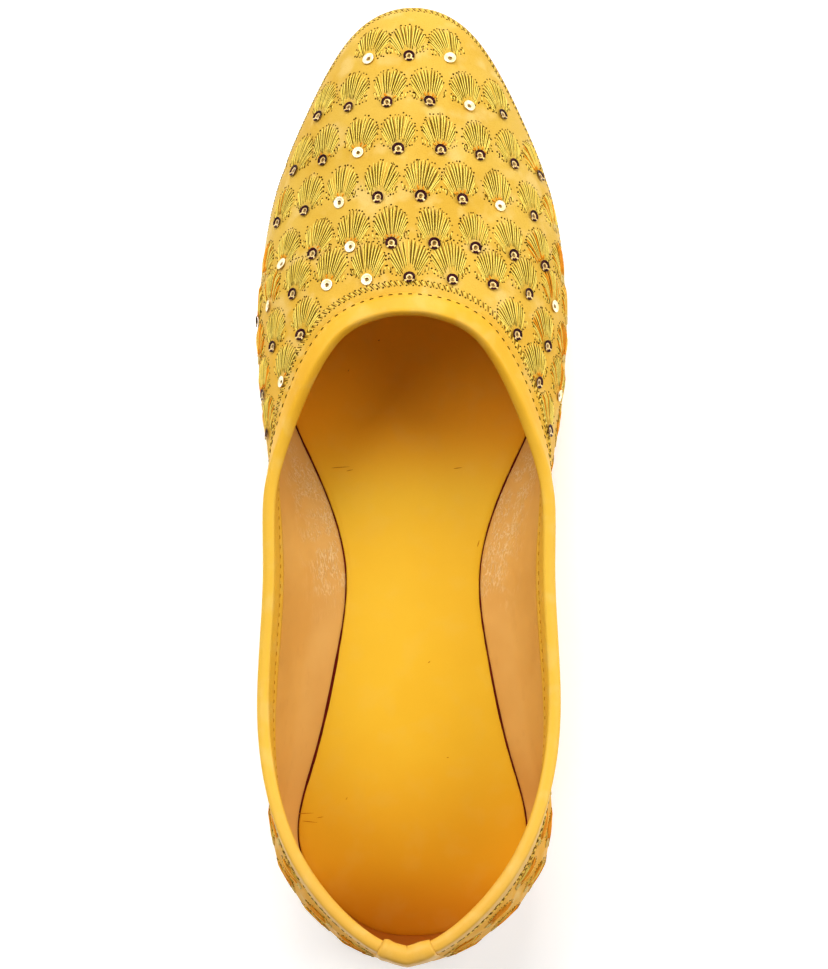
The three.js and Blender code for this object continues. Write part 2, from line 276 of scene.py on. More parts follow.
# Node maths as plain expressions
class Wire:
    def __init__(self, tree, socket):
        self.tree, self.socket = tree, socket

    def add(self, kind, settings=None, inputs=None, out=0):
        node = self.tree.nodes.new(kind)
        for name, value in (settings or {}).items():
            setattr(node, name, value)
        for name, value in (inputs or {}).items():
            if isinstance(value, Wire):
                self.tree.links.new(value.socket, node.inputs[name])
            else:
                node.inputs[name].default_value = value
        return Wire(self.tree, node.outputs[out])

    def maths(self, operation, a, b):
        return self.add("ShaderNodeMath", {"operation": operation}, {0: a, 1: b})

    def __add__(self, other):
        return self.maths("ADD", self, other)

    def __radd__(self, other):
        return self.maths("ADD", other, self)

    def __sub__(self, other):
        return self.maths("SUBTRACT", self, other)

    def __rsub__(self, other):
        return self.maths("SUBTRACT", other, self)

    def __mul__(self, other):
        return self.maths("MULTIPLY", self, other)

    def __rmul__(self, other):
        return self.maths("MULTIPLY", other, self)

    def __pow__(self, other):
        return self.maths("POWER", self, other)

    def __abs__(self):
        return self.maths("ABSOLUTE", self, 0.0)

    def between(self, start, end):  # 0 before start, 1 after end, eased
        return self.add("ShaderNodeMapRange", {"interpolation_type": "SMOOTHSTEP"},
                        {"Value": self, "From Min": start, "From Max": end})

    def blend(self, one, other):  # this wire is the share of the other; a triple is a screen colour
        one, other = [paint(*c) if isinstance(c, tuple) else c for c in (one, other)]
        return self.add("ShaderNodeMix", {"data_type": "RGBA"}, {0: self, 6: one, 7: other}, 2)

    def stretch(self, x, y, z):
        return self.add("ShaderNodeVectorMath", {"operation": "MULTIPLY"}, {0: self, 1: (x, y, z)})

    def noise(self, size, detail=2.0, rough=0.5):  # size of a blotch in millimetres
        return self.add("ShaderNodeTexNoise", None,
                        {"Vector": self, "Scale": 1 / (size * mm), "Detail": detail, "Roughness": rough})

    def cells(self, size):
        return self.add("ShaderNodeTexVoronoi", None, {"Vector": self, "Scale": 1 / (size * mm)})

    def axis(self, name):  # one coordinate in millimetres
        return self.add("ShaderNodeSeparateXYZ", None, {0: self}, "XYZ".index(name)) * 1000.0


def paint(red, green, blue):  # screen colour, 0 to 255, as linear light
    s = np.array([red, green, blue]) / 255
    linear = np.where(s <= 0.04045, s / 12.92, ((s + 0.055) / 1.055) ** 2.4)
    return [*[float(v) for v in linear], 1.0]


finishes = {}


def newFinish(name, fixed):  # an empty Principled finish, with its even values set on the sockets
    material = bpy.data.materials.new(name)
    material.use_nodes = True
    tree = material.node_tree
    shader = tree.nodes["Principled BSDF"]
    for key, value in fixed.items():
        shader.inputs[key].default_value = value
    place = Wire(tree, tree.nodes.new("ShaderNodeTexCoord").outputs["Object"])

    def feed(key, value):
        tree.links.new(value.socket, shader.inputs[key])

    def bumps(height, depth, strength=1.0):  # depth in millimetres
        feed("Normal", place.add("ShaderNodeBump", None,
                                 {"Strength": strength, "Distance": depth * mm, "Height": height}))
    finishes[name] = material
    return place, feed, bumps


leatherLook = {
    "colour": (210, 173, 77),
    "deep": (204, 163, 62),
    "dark": (180, 131, 40),
    "pale": (225, 199, 134),
    "paleShare": 0.46,
    "mottle": 7.0,
    "mottleEdges": (0.48, 0.72),
    "cloud": 16.0,
    "cloudEdges": (0.35, 0.7),
    "grain": 0.7,
    "fineGrain": 0.45,
    "fineEdges": (0.4, 0.75),
    "speck": 0.22,
    "rough": 0.42,
    "roughSpread": 0.14,
    "specular": 0.08,
    "coat": 0.0,
    "ripple": 0.8,
    "relief": 0.05,
    "paintedLight": (),  # from, to and colour along the shoe: bands of painted light and shade
}
leathers = {
    # painted shade on the upper: warmer and deeper from the throat back, most on the flanks round the heel
    "upperLeather": {"paintedLight": ((64, 20, (217, 170, 62)), (-30, -90, (222, 164, 48)))},
    "bindingLeather": {
        "colour": (224, 174, 54), "deep": (219, 166, 44), "paleShare": 0.2, "speck": 0.1, "grain": 0.55,
        "relief": 0.025, "rough": 0.38, "coat": 0.05, "specular": 0.2,
        # painted light on the binding: paler from the waist back for its sheen, darker round the heel for
        # its shade
        "paintedLight": ((26, -14, (228, 182, 70)), (-68, -112, (216, 168, 72)))},
    "insoleSatin": {
        "colour": (232, 187, 54), "deep": (229, 181, 47), "paleShare": 0.05, "speck": 0.06, "grain": 0.4,
        "relief": 0.012, "rough": 0.34, "coat": 0.04, "specular": 0.25, "cloud": 34.0,
        # painted shade on the insole: deeper orange under the throat, darker towards the heel and darkest
        # at the rear
        "paintedLight": ((-8, 20, (240, 167, 30)), (-62, -122, (216, 152, 26)), (-100, -121, (196, 126, 12)))},
}
for name, changes in leathers.items():
    look = {**leatherLook, **changes}
    place, feed, bumps = newFinish(name, {
        "Specular IOR Level": look["specular"], "Coat Roughness": 0.3, "Coat Weight": look["coat"]})
    cloud = place.noise(look["cloud"], 3)
    grain = place.cells(look["grain"])
    fine = place.noise(look["grain"] * look["fineGrain"], 3, 0.6)
    tint = cloud.between(*look["cloudEdges"]).blend(look["colour"], look["deep"])
    # bands of painted light and shade along the shoe
    for start, end, colour in look["paintedLight"]:
        tint = place.axis("Y").between(start, end).blend(tint, colour)
    mottle = place.noise(look["mottle"], 2).between(*look["mottleEdges"])
    tint = (mottle * look["paleShare"]).blend(tint, look["pale"])
    feed("Base Color", (fine.between(*look["fineEdges"]) * look["speck"]).blend(tint, look["dark"]))
    feed("Roughness", look["rough"] + look["roughSpread"] * fine)
    bumps(0.6 * grain + 0.5 * fine + look["ripple"] * cloud, look["relief"])

threadLook = {"specular": 0.08, "strand": 0.22, "patch": 3.5, "roughSpread": 0.2, "relief": 0.05}
threads = {  # colour, deep colour, roughness
    "goldThread": ((240, 216, 112), (222, 188, 74), 0.42),
    "orangeThread": ((236, 160, 42), (216, 132, 24), 0.5),
    "oliveThreadAndShade": ((118, 96, 30), (90, 70, 20), 0.7),
    "needleHole": ((86, 66, 16), (60, 44, 10), 0.8),
    "seamThread": ((202, 148, 40), (178, 122, 28), 0.6),
    "paleKnot": ((226, 202, 132), (194, 164, 90), 0.5),
    "gluedEdgeAndGapShade": ((112, 34, 20), (80, 20, 12), 0.8),
    "insoleScratch": ((204, 142, 30), (178, 112, 22), 0.6),
    "studGrooveShade": ((104, 76, 58), (84, 60, 44), 0.85),
}
for name, (colour, deep, rough) in threads.items():
    place, feed, bumps = newFinish(name, {"Specular IOR Level": threadLook["specular"]})
    strand = place.noise(threadLook["strand"], 2)
    patch = place.noise(threadLook["patch"], 2)
    shade = 0.6 * strand.between(0.35, 0.7) + 0.4 * patch.between(0.4, 0.65)
    feed("Base Color", shade.blend(colour, deep))
    feed("Roughness", rough + threadLook["roughSpread"] * strand)
    bumps(strand, threadLook["relief"], 0.6)

foilLook = {"specular": 0.15, "coatRough": 0.12, "swirl": 1.6, "roughSpread": 0.15, "relief": 0.01}
foils = {  # colour, deep colour, metal, roughness, coat
    # the dark, white and pale foils paint the sequins' reflections and glints
    "darkReflectionFoil": ((64, 14, 20), (40, 8, 12), 0.1, 0.45, 0.03),
    "glintFoil": ((255, 246, 216), (252, 232, 178), 0.25, 0.22, 0.3),
    "paleReflectionFoil": ((234, 206, 140), (214, 176, 104), 0.15, 0.3, 0.3),
    "cupFoil": ((176, 148, 92), (140, 108, 62), 0.6, 0.25, 0.3),
}
for name, (colour, deep, metal, rough, coat) in foils.items():
    place, feed, bumps = newFinish(name, {
        "Metallic": metal, "Coat Weight": coat, "Coat Roughness": foilLook["coatRough"],
        "Specular IOR Level": foilLook["specular"] + coat})
    swirl = place.noise(foilLook["swirl"], 1)
    feed("Base Color", swirl.between(0.35, 0.65).blend(colour, deep))
    feed("Roughness", rough + foilLook["roughSpread"] * swirl)
    bumps(swirl, foilLook["relief"], 0.3)
print("finishes: leather, thread and foil ready")


def makePiece(name, mesh, finish, replaced=None, which=None):  # mesh is a pair of points and faces
    points, faces = mesh
    mesh = bpy.data.meshes.new(name)
    mesh.from_pydata((np.asarray(points) * mm).tolist(), [], faces)
    for each in finish:
        mesh.materials.append(finishes[each])
    mesh.polygons.foreach_set("use_smooth", [True] * len(mesh.polygons))
    if which is not None:
        mesh.polygons.foreach_set("material_index", which)
    mesh.validate()
    shell = bmesh.new()
    shell.from_mesh(mesh)
    bmesh.ops.recalc_face_normals(shell, faces=shell.faces)
    shell.to_mesh(mesh)
    shell.free()
    piece = bpy.data.objects.new(name, mesh)
    bpy.context.collection.objects.link(piece)
    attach(piece, "root")
    if replaced:
        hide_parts(replaced)
    print(f"{name}: {len(mesh.vertices)} points, {len(mesh.polygons)} faces")


def ringFaces(ringCount, n, closed):  # quads between rings of n points
    rings = np.arange(ringCount if closed else ringCount - 1)[:, None]
    i = np.arange(n)[None, :]
    j = (i + 1) % n
    low, high = rings * n, (rings + 1) % ringCount * n
    return np.stack([low + i, low + j, high + j, high + i], -1).reshape(-1, 4).tolist()


def zipFaces(start, n, flip):  # closes a ring by joining point k to point n - k
    faces = []
    for k in range(n // 2):
        quad = [start + i for i in (k, k + 1, n - k - 1, (n - k) % n)]
        quad = list(dict.fromkeys(quad))
        faces.append(quad if flip else quad[::-1])
    return [face for face in faces if len(face) > 2]


def closedShell(rings):  # the last ring joins the first
    return rings.reshape(-1, 3), ringFaces(len(rings), rings.shape[1], True)


def cappedShell(rings):  # the first and the last ring are zipped shut
    n = len(rings[0])
    caps = zipFaces(0, n, True) + zipFaces((len(rings) - 1) * n, n, False)
    return np.concatenate(rings), ringFaces(len(rings), n, False) + caps


def wallShell(outer, inner):  # an outer and an inner face, joined at the rim and at the sole
    for face in (outer, inner):
        face[0, :, 2] = topHeight(face[0, :, 1]) + soleShape["bedClear"]
    return closedShell(np.concatenate([outer, inner[::-1]]))


def threadMesh(centre, normal, radius, flat=0.75, sides=6):  # closed tubes along many paths at once
    count, steps, _ = centre.shape
    ahead = unit(np.gradient(centre, axis=1))
    side = unit(np.cross(ahead, normal))
    rise = np.cross(side, ahead)
    angle = np.arange(sides) * 2 * np.pi / sides
    ring = (np.cos(angle)[:, None] * side[:, :, None, :]
            + flat * np.sin(angle)[:, None] * rise[:, :, None, :])
    points = centre[:, :, None, :] + radius[:, :, None, None] * ring
    start = np.arange(count)[:, None] * steps * sides
    row = np.arange(steps - 1)[None, :, None] * sides
    i = np.arange(sides)
    j = (i + 1) % sides
    low = start[:, :, None] + row
    walls = np.stack([low + i, low + j, low + sides + j, low + sides + i], -1).reshape(-1, 4).tolist()
    ends = [start + i[::-1], start + (steps - 1) * sides + i]
    return points.reshape(-1, 3), walls + np.concatenate(ends).tolist()


def joined(meshes):
    points, faces, start = [], [], 0
    for p, f in meshes:
        points.append(p)
        faces += [[i + start for i in face] for face in f]
        start += len(p)
    return np.concatenate(points), faces


# Where the embroidered fans stand: rows across the vamp, then rows down each side to the heel
fanPlan = {
    "rowAlong": (111.3, 98.9, 86.1, 73.5, 61.1, 51.9),  # sequin rows on the ridge of the vamp
    "rowShift": (-0.5, 4.9, -2.9, 2.9, -4.4, 0.3),  # where each row's column nearest the ridge sits
    "tipGirth": 18.0,  # the row nearest the tip is short
    "rowGirth": 70.0,
    "pitch": 10.9,
    "droop": 7.0,  # how far a row has fallen back at the droop girth
    "droopGirth": 45.0,
    "shoulderRows": ((12.4, 5.4), (23.6, 0.3), (35.6, 4.0)),  # how far behind the last full row, and shift
    "shoulderGirth": (18.0, 66.0),
    "shoulderHighest": 8.0,
    "sideStart": -2.5,
    "sidePitch": 13.4,
    "sideColumns": (12.0, 21.8, 31.6),  # distances up the wall
    "sideRow": 20,  # row numbers from here on are on the sides
    "sideGirth": 60.0,
    "lowest": 8.2,  # bases keep this far from the sole and from the rim
    "highest": 7.6,
    "lean": 4.0,  # degrees that a fan may turn
}


def vampSpots():
    ridge = np.linspace(0, 1, 400)
    ridgePoint = upperPoint(np.full(400, float(toeRib)), ridge)
    starts = [np.interp(-y, -ridgePoint[:, 1], ridge) for y in fanPlan["rowAlong"]]
    spots, grid = [], np.arange(0, 72, 1.0)
    side = np.tile([-1.0, 1.0], len(starts))
    turn, climb, path = np.full(len(side), float(toeRib)), np.repeat(starts, 2), []
    for girth in grid:  # all rows walk out from the ridge together, one millimetre at a time
        path.append((turn, climb))
        _, normal, _, _ = upperFrame(turn, climb)
        across = -side[:, None] * unit(np.cross(normal, forward))
        slope = 2 * fanPlan["droop"] * girth / fanPlan["droopGirth"] ** 2
        turn, climb = [found[:, 0] for found in walkOver(turn, climb, across - slope * forward,
                                                         np.ones((len(side), 1)))]
        climb = np.clip(climb, 0, 1)
    path = np.array(path)

    def onRow(row, girth):  # turn and climb of a place on a row, by its girth from the ridge
        return np.array([[np.interp(abs(girth), grid, path[:, i, 2 * row + (girth > 0)])] for i in (0, 1)])

    for row, shift in enumerate(fanPlan["rowShift"]):
        for k in range(-7, 8):
            girth = shift + k * fanPlan["pitch"]
            if abs(girth) > (fanPlan["rowGirth"] if row else fanPlan["tipGirth"]):
                continue
            spot = onRow(row, girth)
            if clearOf(*spot, fanPlan["lowest"], fanPlan["highest"])[0]:
                spots.append((*spot[:, 0], row, girth))
    least, most = fanPlan["shoulderGirth"]
    for extra, (behind, shift) in enumerate(fanPlan["shoulderRows"]):
        for k in range(-6, 7):
            girth = shift + k * fanPlan["pitch"]
            if not least < abs(girth) < most:
                continue
            back = np.linspace(0, behind, 9)[None, 1:]
            turns, climbs = walkOver(*onRow(-1, girth), -forward[None, :], back)
            inside = climbs.min() > 0 and climbs.max() < 1
            clear = clearOf(turns[:, -1], climbs[:, -1], fanPlan["lowest"], fanPlan["shoulderHighest"])
            if inside and clear[0]:
                spots.append((turns[0, -1], climbs[0, -1], len(starts) + extra, girth))
    return spots


def sideSpots():
    spots = []
    line = np.linspace(9, 0, 500)
    path = upperPoint(line, 0.45)
    run = runAlong(path)
    start = np.interp(-fanPlan["sideStart"], -path[:, 1], run)
    turns = np.interp(np.arange(start, run[-1] - 3, fanPlan["sidePitch"]), run, line)
    for distance in fanPlan["sideColumns"]:
        climbs, lengths = climbAboveSole(turns, distance)
        for row, (turn, climb, length) in enumerate(zip(turns, climbs, lengths), fanPlan["sideRow"]):
            if distance < length - fanPlan["highest"]:
                spots += [(turn, climb, row, -fanPlan["sideGirth"]),
                          (ribCount - turn, climb, row, fanPlan["sideGirth"])]
    return spots


spots = np.array(vampSpots() + sideSpots())
fanCount = len(spots)
fanTurn, fanClimb, fanRow, fanGirth = spots.T
onVamp = fanRow < fanPlan["sideRow"]
fanPoint, fanNormal, fanRound, _ = upperFrame(fanTurn, fanClimb)
toeward = np.where(onVamp[:, None], forward, np.where(fanTurn < toeRib, 1, -1)[:, None] * fanRound)
toeward = unit(toeward - dot(toeward, fanNormal) * fanNormal)
lean = np.radians(rng.normal(0, fanPlan["lean"], fanCount))[:, None]
fanHeading = np.cos(lean) * toeward + np.sin(lean) * np.cross(fanNormal, toeward)
fanAcross = np.cross(fanHeading, fanNormal)
print(f"fans: {onVamp.sum()} on the vamp, {(~onVamp).sum()} on the sides")

# Soft relief of the leather between the stitches, and its creases
reliefPlan = {
    "near": 13.0,
    "fan": 0.16,  # threads lift the leather's face
    "fanAhead": 5.0,
    "fanEdge": (3.2, 5.2),
    "puff": 0.34,  # plain leather swells below each sequin
    "puffBehind": 4.2,
    "puffSpread": (14, 10),
    "climbs": (0.0, 0.1, 0.9, 0.97),  # flat at the sole and at the rim
    "creases": (  # turn, climb, angle in degrees, half length, width, depth
        (1.75, 0.62, 78, 12, 2.6, 0.5), (22.3, 0.58, 100, 12, 2.6, 0.55), (2.6, 0.5, 62, 10, 2.2, 0.35),
        (21.3, 0.5, 118, 9, 2.0, 0.35), (7.2, 0.42, 25, 9, 2.4, 0.3), (16.9, 0.4, 150, 9, 2.4, 0.3),
        (9.4, 0.12, 80, 5, 2.0, 0.25), (10.6, 0.12, 95, 5, 1.8, 0.25), (13.5, 0.12, 85, 5, 1.8, 0.25),
        (14.7, 0.12, 100, 5, 2.0, 0.25),
    ),
}


def creaseFrames():
    frames = []
    for turn, climb, angle, half, width, depth in reliefPlan["creases"]:
        point, normal, alongTurn, _ = upperFrame(np.array([turn]), np.array([climb]))
        level = unit(alongTurn)[0]
        rise = np.cross(level, normal[0])
        a = np.radians(angle)
        frames.append((point[0], np.cos(a) * level - np.sin(a) * rise, normal[0], half, width, depth))
    return frames


creases = creaseFrames()


def relief(point, climb):
    flat = point.reshape(-1, 3)
    height = np.zeros(len(flat))
    long, wide = reliefPlan["puffSpread"]

    def nearBy(centre, reach, lineU, lineV):  # points about a centre, and their places in its own plan
        near = np.flatnonzero(np.abs(flat - centre).max(1) < reach)
        away = flat[near] - centre
        return near, away @ lineU, away @ lineV

    for centre, heading, across in zip(fanPoint, fanHeading, fanAcross):
        near, u, v = nearBy(centre, reliefPlan["near"], heading, across)
        radius = np.hypot(u - reliefPlan["fanAhead"], v)
        height[near] += reliefPlan["fan"] * (1 - smoothStep(*reliefPlan["fanEdge"], radius))
        away = (u + reliefPlan["puffBehind"]) ** 2 / long + v**2 / wide
        height[near] += reliefPlan["puff"] * np.exp(-away)
    for centre, line, normal, half, width, depth in creases:
        near, u, v = nearBy(centre, 2 * half + 6, line, np.cross(line, normal))
        height[near] -= depth * np.exp(-((v / width) ** 2)) * np.exp(-((u / half) ** 4))
    return height.reshape(point.shape[:-1]) * window(*reliefPlan["climbs"], climb)


# Outer leather of the upper, one closed skin from the sole to the rim
skin = {"around": 576, "up": 56, "leather": 0.85}
gridTurn, gridClimb = np.meshgrid(turnsRound(skin["around"]), np.linspace(0, 1, skin["up"] + 1))
skinPoint, skinNormal, _, _ = upperFrame(gridTurn, gridClimb)
outerFace = skinPoint + relief(skinPoint, gridClimb)[..., None] * skinNormal
innerFace = skinPoint - skin["leather"] * skinNormal
makePiece("upperSkin", wallShell(outerFace, innerFace), ["upperLeather"], "upper")


# Stitches of the fans, worked out for every fan at once
fanStitch = {
    "rays": 15,
    "crown": 4.4,  # radius of the round top
    "crownHeight": 5.65,  # its middle, ahead of the sequin
    "crownTurn": 92.0,  # degrees that the ray ends cover each way
    "foot": 2.2,  # radius of the ring where the rays start
    "footTurn": 70.0,
    "ray": (0.016, (-0.08, 0.06), (0.97, 0.025), 6),  # unevenness, start, end, points along it
    "rayRadius": 0.23,
    "footShare": 0.5,  # thinner at the foot
    "lift": 0.14,
    "gap": (0.012, (0.0, 0.2), (0.99, 0.04), 5),  # dark lines between the rays: painted shade between the threads
    "shadeLineRadius": 0.155,
    "shadeLineLift": 0.12,
    "shadeLineShare": (0.94, 0.72),  # on the vamp, on the sides
    # share of orange rays, on the vamp and on the sides: painted light, the same thread paler gold where
    # lit from above and orange down the sides
    "orangeShare": (0.5, 0.74),
    "orangeGirth": (32, 50),
    "hemTurn": 58.0,  # short stitches slant in a row from the sequin up to the next fan
    "hemLean": 8.0,
    "hemSteps": (2.7, 3.6, 4.5, 5.4),
    "hemHalf": 0.6,
    "hemUneven": 0.13,
    "hemLift": 0.08,
    "hemGold": (0.75, 0.19),  # share of the places, thread radius
    "hemDark": (0.45, 0.13),
    "hemDarkBack": 0.4,
    "tackAngles": (-48, -26, 0, 26, 48),  # orange bar tacks that gather the rays
    "tackFans": 0.55,
    "tackShare": 0.8,
    "tackStart": 1.75,
    "tackEnd": 2.7,
    "tackUneven": (6, 0.3),  # in degrees, and at the end
    "tackRadius": 0.19,
    "tackLift": 0.2,
    "knotRings": ((1.25, 0.9), (0.75, 0.5)),  # radius, and angle left open
    "knotRadius": 0.24,
    "knotLift": 0.16,
    "flat": 0.75,  # height of a thread over its width
    "darkFlat": 0.6,
    "endShare": 0.55,  # thickness left where a thread goes down into the leather
    "endDepth": 0.8,
    "sideSize": 0.92,  # fans on the sides are smaller and narrower
    "sideWidth": 0.86,
    "sideThread": 0.72,
    "soleClear": 5.0,
    "rimClear": 7.4,
    "sequinGirth": 46,  # beyond it few fans of the vamp have a sequin, and none on the sides
    "fewSequins": 0.2,
}


def fanSpot(fans, ahead, across):  # places in a fan's own plan, laid on the leather
    base = np.repeat(fans, ahead.shape[1])
    ahead, across = ahead * fanSize[fans, None], across * (fanSize * fanWide)[fans, None]
    angle = np.arctan2(across, ahead).ravel()[:, None]
    reach = np.hypot(across, ahead).ravel()
    heading = np.cos(angle) * fanHeading[base] + np.sin(angle) * fanAcross[base]
    turns, climbs = walkOver(fanTurn[base], fanClimb[base], heading, np.stack([reach / 2, reach], 1))
    return turns[:, 1].reshape(ahead.shape), climbs[:, 1].reshape(ahead.shape)


def stitchPaths(fans, ahead, across, radius, lift, flat=fanStitch["flat"], foot=1.0):
    turns, climbs = fanSpot(fans, ahead, across)
    keep = clearOf(turns, climbs, fanStitch["soleClear"], fanStitch["rimClear"]).all(1)
    turns, climbs, radius = turns[keep], climbs[keep], (radius * fanThread[fans])[keep]
    point, normal, _, _ = upperFrame(turns, climbs)
    sunk = np.zeros(ahead.shape[1])
    sunk[[0, -1]] = 1
    thick = radius[:, None] * np.where(sunk, fanStitch["endShare"], 1) * np.linspace(foot, 1, len(sunk))
    height = relief(point, climbs) + lift - fanStitch["endDepth"] * radius[:, None] * sunk
    return threadMesh(point + height[..., None] * normal, normal, thick, flat)


fanSize = np.where(onVamp, 1.0, fanStitch["sideSize"]) * rng.normal(1, 0.025, fanCount)
fanWide = np.where(onVamp, 1.0, fanStitch["sideWidth"])
fanThread = np.where(onVamp, 1.0, fanStitch["sideThread"])
# painted light: the rays are paler gold on top, where lit, and more of them orange down the sides
vampOrange, sideOrange = fanStitch["orangeShare"]
warmer = smoothStep(*fanStitch["orangeGirth"], np.abs(fanGirth))
orangeShare = np.where(onVamp, vampOrange * warmer, sideOrange)
fanTack = rng.uniform(0, 1, fanCount)
sequinShare = np.where(np.abs(fanGirth) < fanStitch["sequinGirth"], 1.0, fanStitch["fewSequins"])
hasSequin = rng.uniform(0, 1, fanCount) < np.where(onVamp, sequinShare, 0.0)


def rayEnds(share):  # foot and tip of a ray, by its place from the middle 0 to either side 1
    low, high = np.radians(fanStitch["footTurn"]) * share, np.radians(fanStitch["crownTurn"]) * share
    foot = fanStitch["foot"] * np.stack([np.cos(low), np.sin(low)])
    tip = fanStitch["crown"] * np.stack([np.cos(high), np.sin(high)]) + [[fanStitch["crownHeight"]], [0]]
    return foot, tip


def rayLines(places, uneven, starts, ends, steps):  # the same rays in every fan, each a little uneven
    share = np.tile(places, fanCount) + rng.normal(0, uneven, len(places) * fanCount)
    start, end = rng.uniform(*starts, len(share)), rng.normal(*ends, len(share))
    foot, tip = rayEnds(share)
    along = start[:, None] + (end - start)[:, None] * np.linspace(0, 1, steps)[None, :]
    ahead, across = [foot[k][:, None] + (tip - foot)[k][:, None] * along for k in (0, 1)]
    return np.repeat(np.arange(fanCount), len(places)), ahead, across


def fanRays():
    places = np.linspace(-1, 1, fanStitch["rays"])
    fans, ahead, across = rayLines(places, *fanStitch["ray"])
    orange = rng.uniform(0, 1, len(fans)) < orangeShare[fans]
    gold, warm = [stitchPaths(fans[some], ahead[some], across[some], fanStitch["rayRadius"],
                              fanStitch["lift"], foot=fanStitch["footShare"]) for some in (~orange, orange)]
    between = places[1:] - 1 / (fanStitch["rays"] - 1)
    # painted shade: a thin dark line between each pair of rays
    fans, ahead, across = rayLines(between, *fanStitch["gap"])
    some = rng.uniform(0, 1, len(fans)) < np.where(onVamp[fans], *fanStitch["shadeLineShare"])
    radius = fanStitch["shadeLineRadius"] * rng.uniform(0.7, 1.15, some.sum())
    dark = stitchPaths(fans[some], ahead[some], across[some], radius, fanStitch["shadeLineLift"],
                       fanStitch["darkFlat"])
    return [gold], [warm], [dark]


def hemEnds(side, along, half):  # both ends of a short stitch in the slanting row
    turned, leaning = np.radians(fanStitch["hemTurn"]), np.radians(fanStitch["hemLean"])
    middle = along * np.array([np.cos(turned), side * np.sin(turned)])
    reach = half * np.array([np.cos(leaning), side * np.sin(leaning)])
    return middle - reach, middle + reach


def hemStitches(side, along, share, radius, flat):
    fans = np.flatnonzero(rng.uniform(0, 1, fanCount) < share)
    ends = hemEnds(side, along, fanStitch["hemHalf"])
    low, high = [end + rng.normal(0, fanStitch["hemUneven"], (len(fans), 2)) for end in ends]
    path = low[:, None] + (high - low)[:, None] * np.linspace(0, 1, 4)[None, :, None]
    return stitchPaths(fans, path[..., 0], path[..., 1], radius, fanStitch["hemLift"], flat)


def fanWings():
    gold, warm, dark = [], [], []
    for side in (-1, 1):
        for along in fanStitch["hemSteps"]:
            gold.append(hemStitches(side, along, *fanStitch["hemGold"], fanStitch["flat"]))
            dark.append(hemStitches(side, along - fanStitch["hemDarkBack"], *fanStitch["hemDark"],
                                    fanStitch["darkFlat"]))
    start, (turning, longer) = fanStitch["tackStart"], fanStitch["tackUneven"]
    for angle in fanStitch["tackAngles"]:
        some = rng.uniform(0, 1, fanCount) < fanStitch["tackShare"]
        fans = np.flatnonzero((fanTack > fanStitch["tackFans"]) & some)
        turned = np.radians(angle + rng.normal(0, turning, len(fans)))[:, None]
        end = fanStitch["tackEnd"] + rng.normal(0, longer, len(fans))
        reach = start + (end - start)[:, None] * np.linspace(0, 1, 4)[None, :]
        warm.append(stitchPaths(fans, np.cos(turned) * reach, np.sin(turned) * reach,
                                fanStitch["tackRadius"], fanStitch["tackLift"]))
    return gold, warm, dark


def fanKnots():  # a ring of pale thread where a fan has no sequin
    fans = np.flatnonzero(~hasSequin)
    meshes = []
    for radius, gap in fanStitch["knotRings"]:
        angle = np.linspace(gap, 2 * np.pi - gap, 12)[None, :] + np.pi + rng.normal(0, 0.3, (len(fans), 1))
        ring = radius * rng.uniform(0.9, 1.1, (len(fans), 1))
        meshes.append(stitchPaths(fans, ring * np.cos(angle), ring * np.sin(angle),
                                  fanStitch["knotRadius"], fanStitch["knotLift"]))
    return meshes


gold, orange, olive = [rays + wings for rays, wings in zip(fanRays(), fanWings())]
for name, meshes, finish in (
    ("goldThreads", gold, "goldThread"),
    ("orangeThreads", orange, "orangeThread"),
    ("oliveThreadsAndShade", olive, "oliveThreadAndShade"),
    ("paleKnots", fanKnots(), "paleKnot"),
):
    makePiece(name, joined(meshes), [finish])


# Needle holes round the fans: small dark hollows drawn as low studs of shade
holePlan = {"size": 0.32, "beyond": 0.22, "uneven": 0.18, "share": 0.88, "rimClear": 7.2, "sunk": 0.04,
            "rise": 0.06, "capShare": 0.55}


def holeMesh(turns, climbs, size):
    point, normal, alongTurn, _ = upperFrame(turns, climbs)
    point = point + relief(point, climbs)[..., None] * normal
    level = unit(alongTurn)
    rise = np.cross(normal, level)
    angle = np.arange(6) * np.pi / 3
    ring = np.cos(angle)[:, None] * level[:, None] + np.sin(angle)[:, None] * rise[:, None]
    size, normal = size[:, None, None], normal[:, None]
    rim = point[:, None] + size * ring - holePlan["sunk"] * normal
    cap = point[:, None] + holePlan["capShare"] * size * ring + holePlan["rise"] * normal
    points = np.concatenate([rim, cap], 1)
    start = (np.arange(len(points)) * 12)[:, None, None]
    i = np.arange(6)[None, :, None]
    j = (i + 1) % 6
    walls = (start + np.concatenate([i, j, j + 6, i + 6], -1)).reshape(-1, 4).tolist()
    tops = (start[:, :, 0] + np.arange(6, 12)[None, :]).tolist()
    floors = (start[:, :, 0] + np.arange(5, -1, -1)[None, :]).tolist()
    return points.reshape(-1, 3), walls + tops + floors


def fanHoles():
    n, every = fanStitch["rays"], np.arange(fanCount)
    foot, tip = rayEnds(np.tile(np.linspace(-1, 1, n), fanCount))
    beyond = tip + holePlan["beyond"] * (tip - foot) / np.linalg.norm(tip - foot, axis=0)
    lists = [(np.repeat(every, n), beyond[0], beyond[1])]
    for side in (-1, 1):
        for along in fanStitch["hemSteps"]:
            for ahead, across in hemEnds(side, along, fanStitch["hemHalf"] + holePlan["beyond"]):
                lists.append((every, np.full(fanCount, ahead), np.full(fanCount, across)))
    fans, ahead, across = [np.concatenate(part) for part in zip(*lists)]
    ahead = ahead + rng.normal(0, holePlan["uneven"], len(fans))
    across = across + rng.normal(0, holePlan["uneven"], len(fans))
    turns, climbs = [found[:, 0] for found in fanSpot(fans, ahead[:, None], across[:, None])]
    keep = clearOf(turns, climbs, fanStitch["soleClear"], holePlan["rimClear"])
    keep &= rng.uniform(0, 1, len(fans)) < holePlan["share"]
    return turns[keep], climbs[keep], fanThread[fans[keep]]


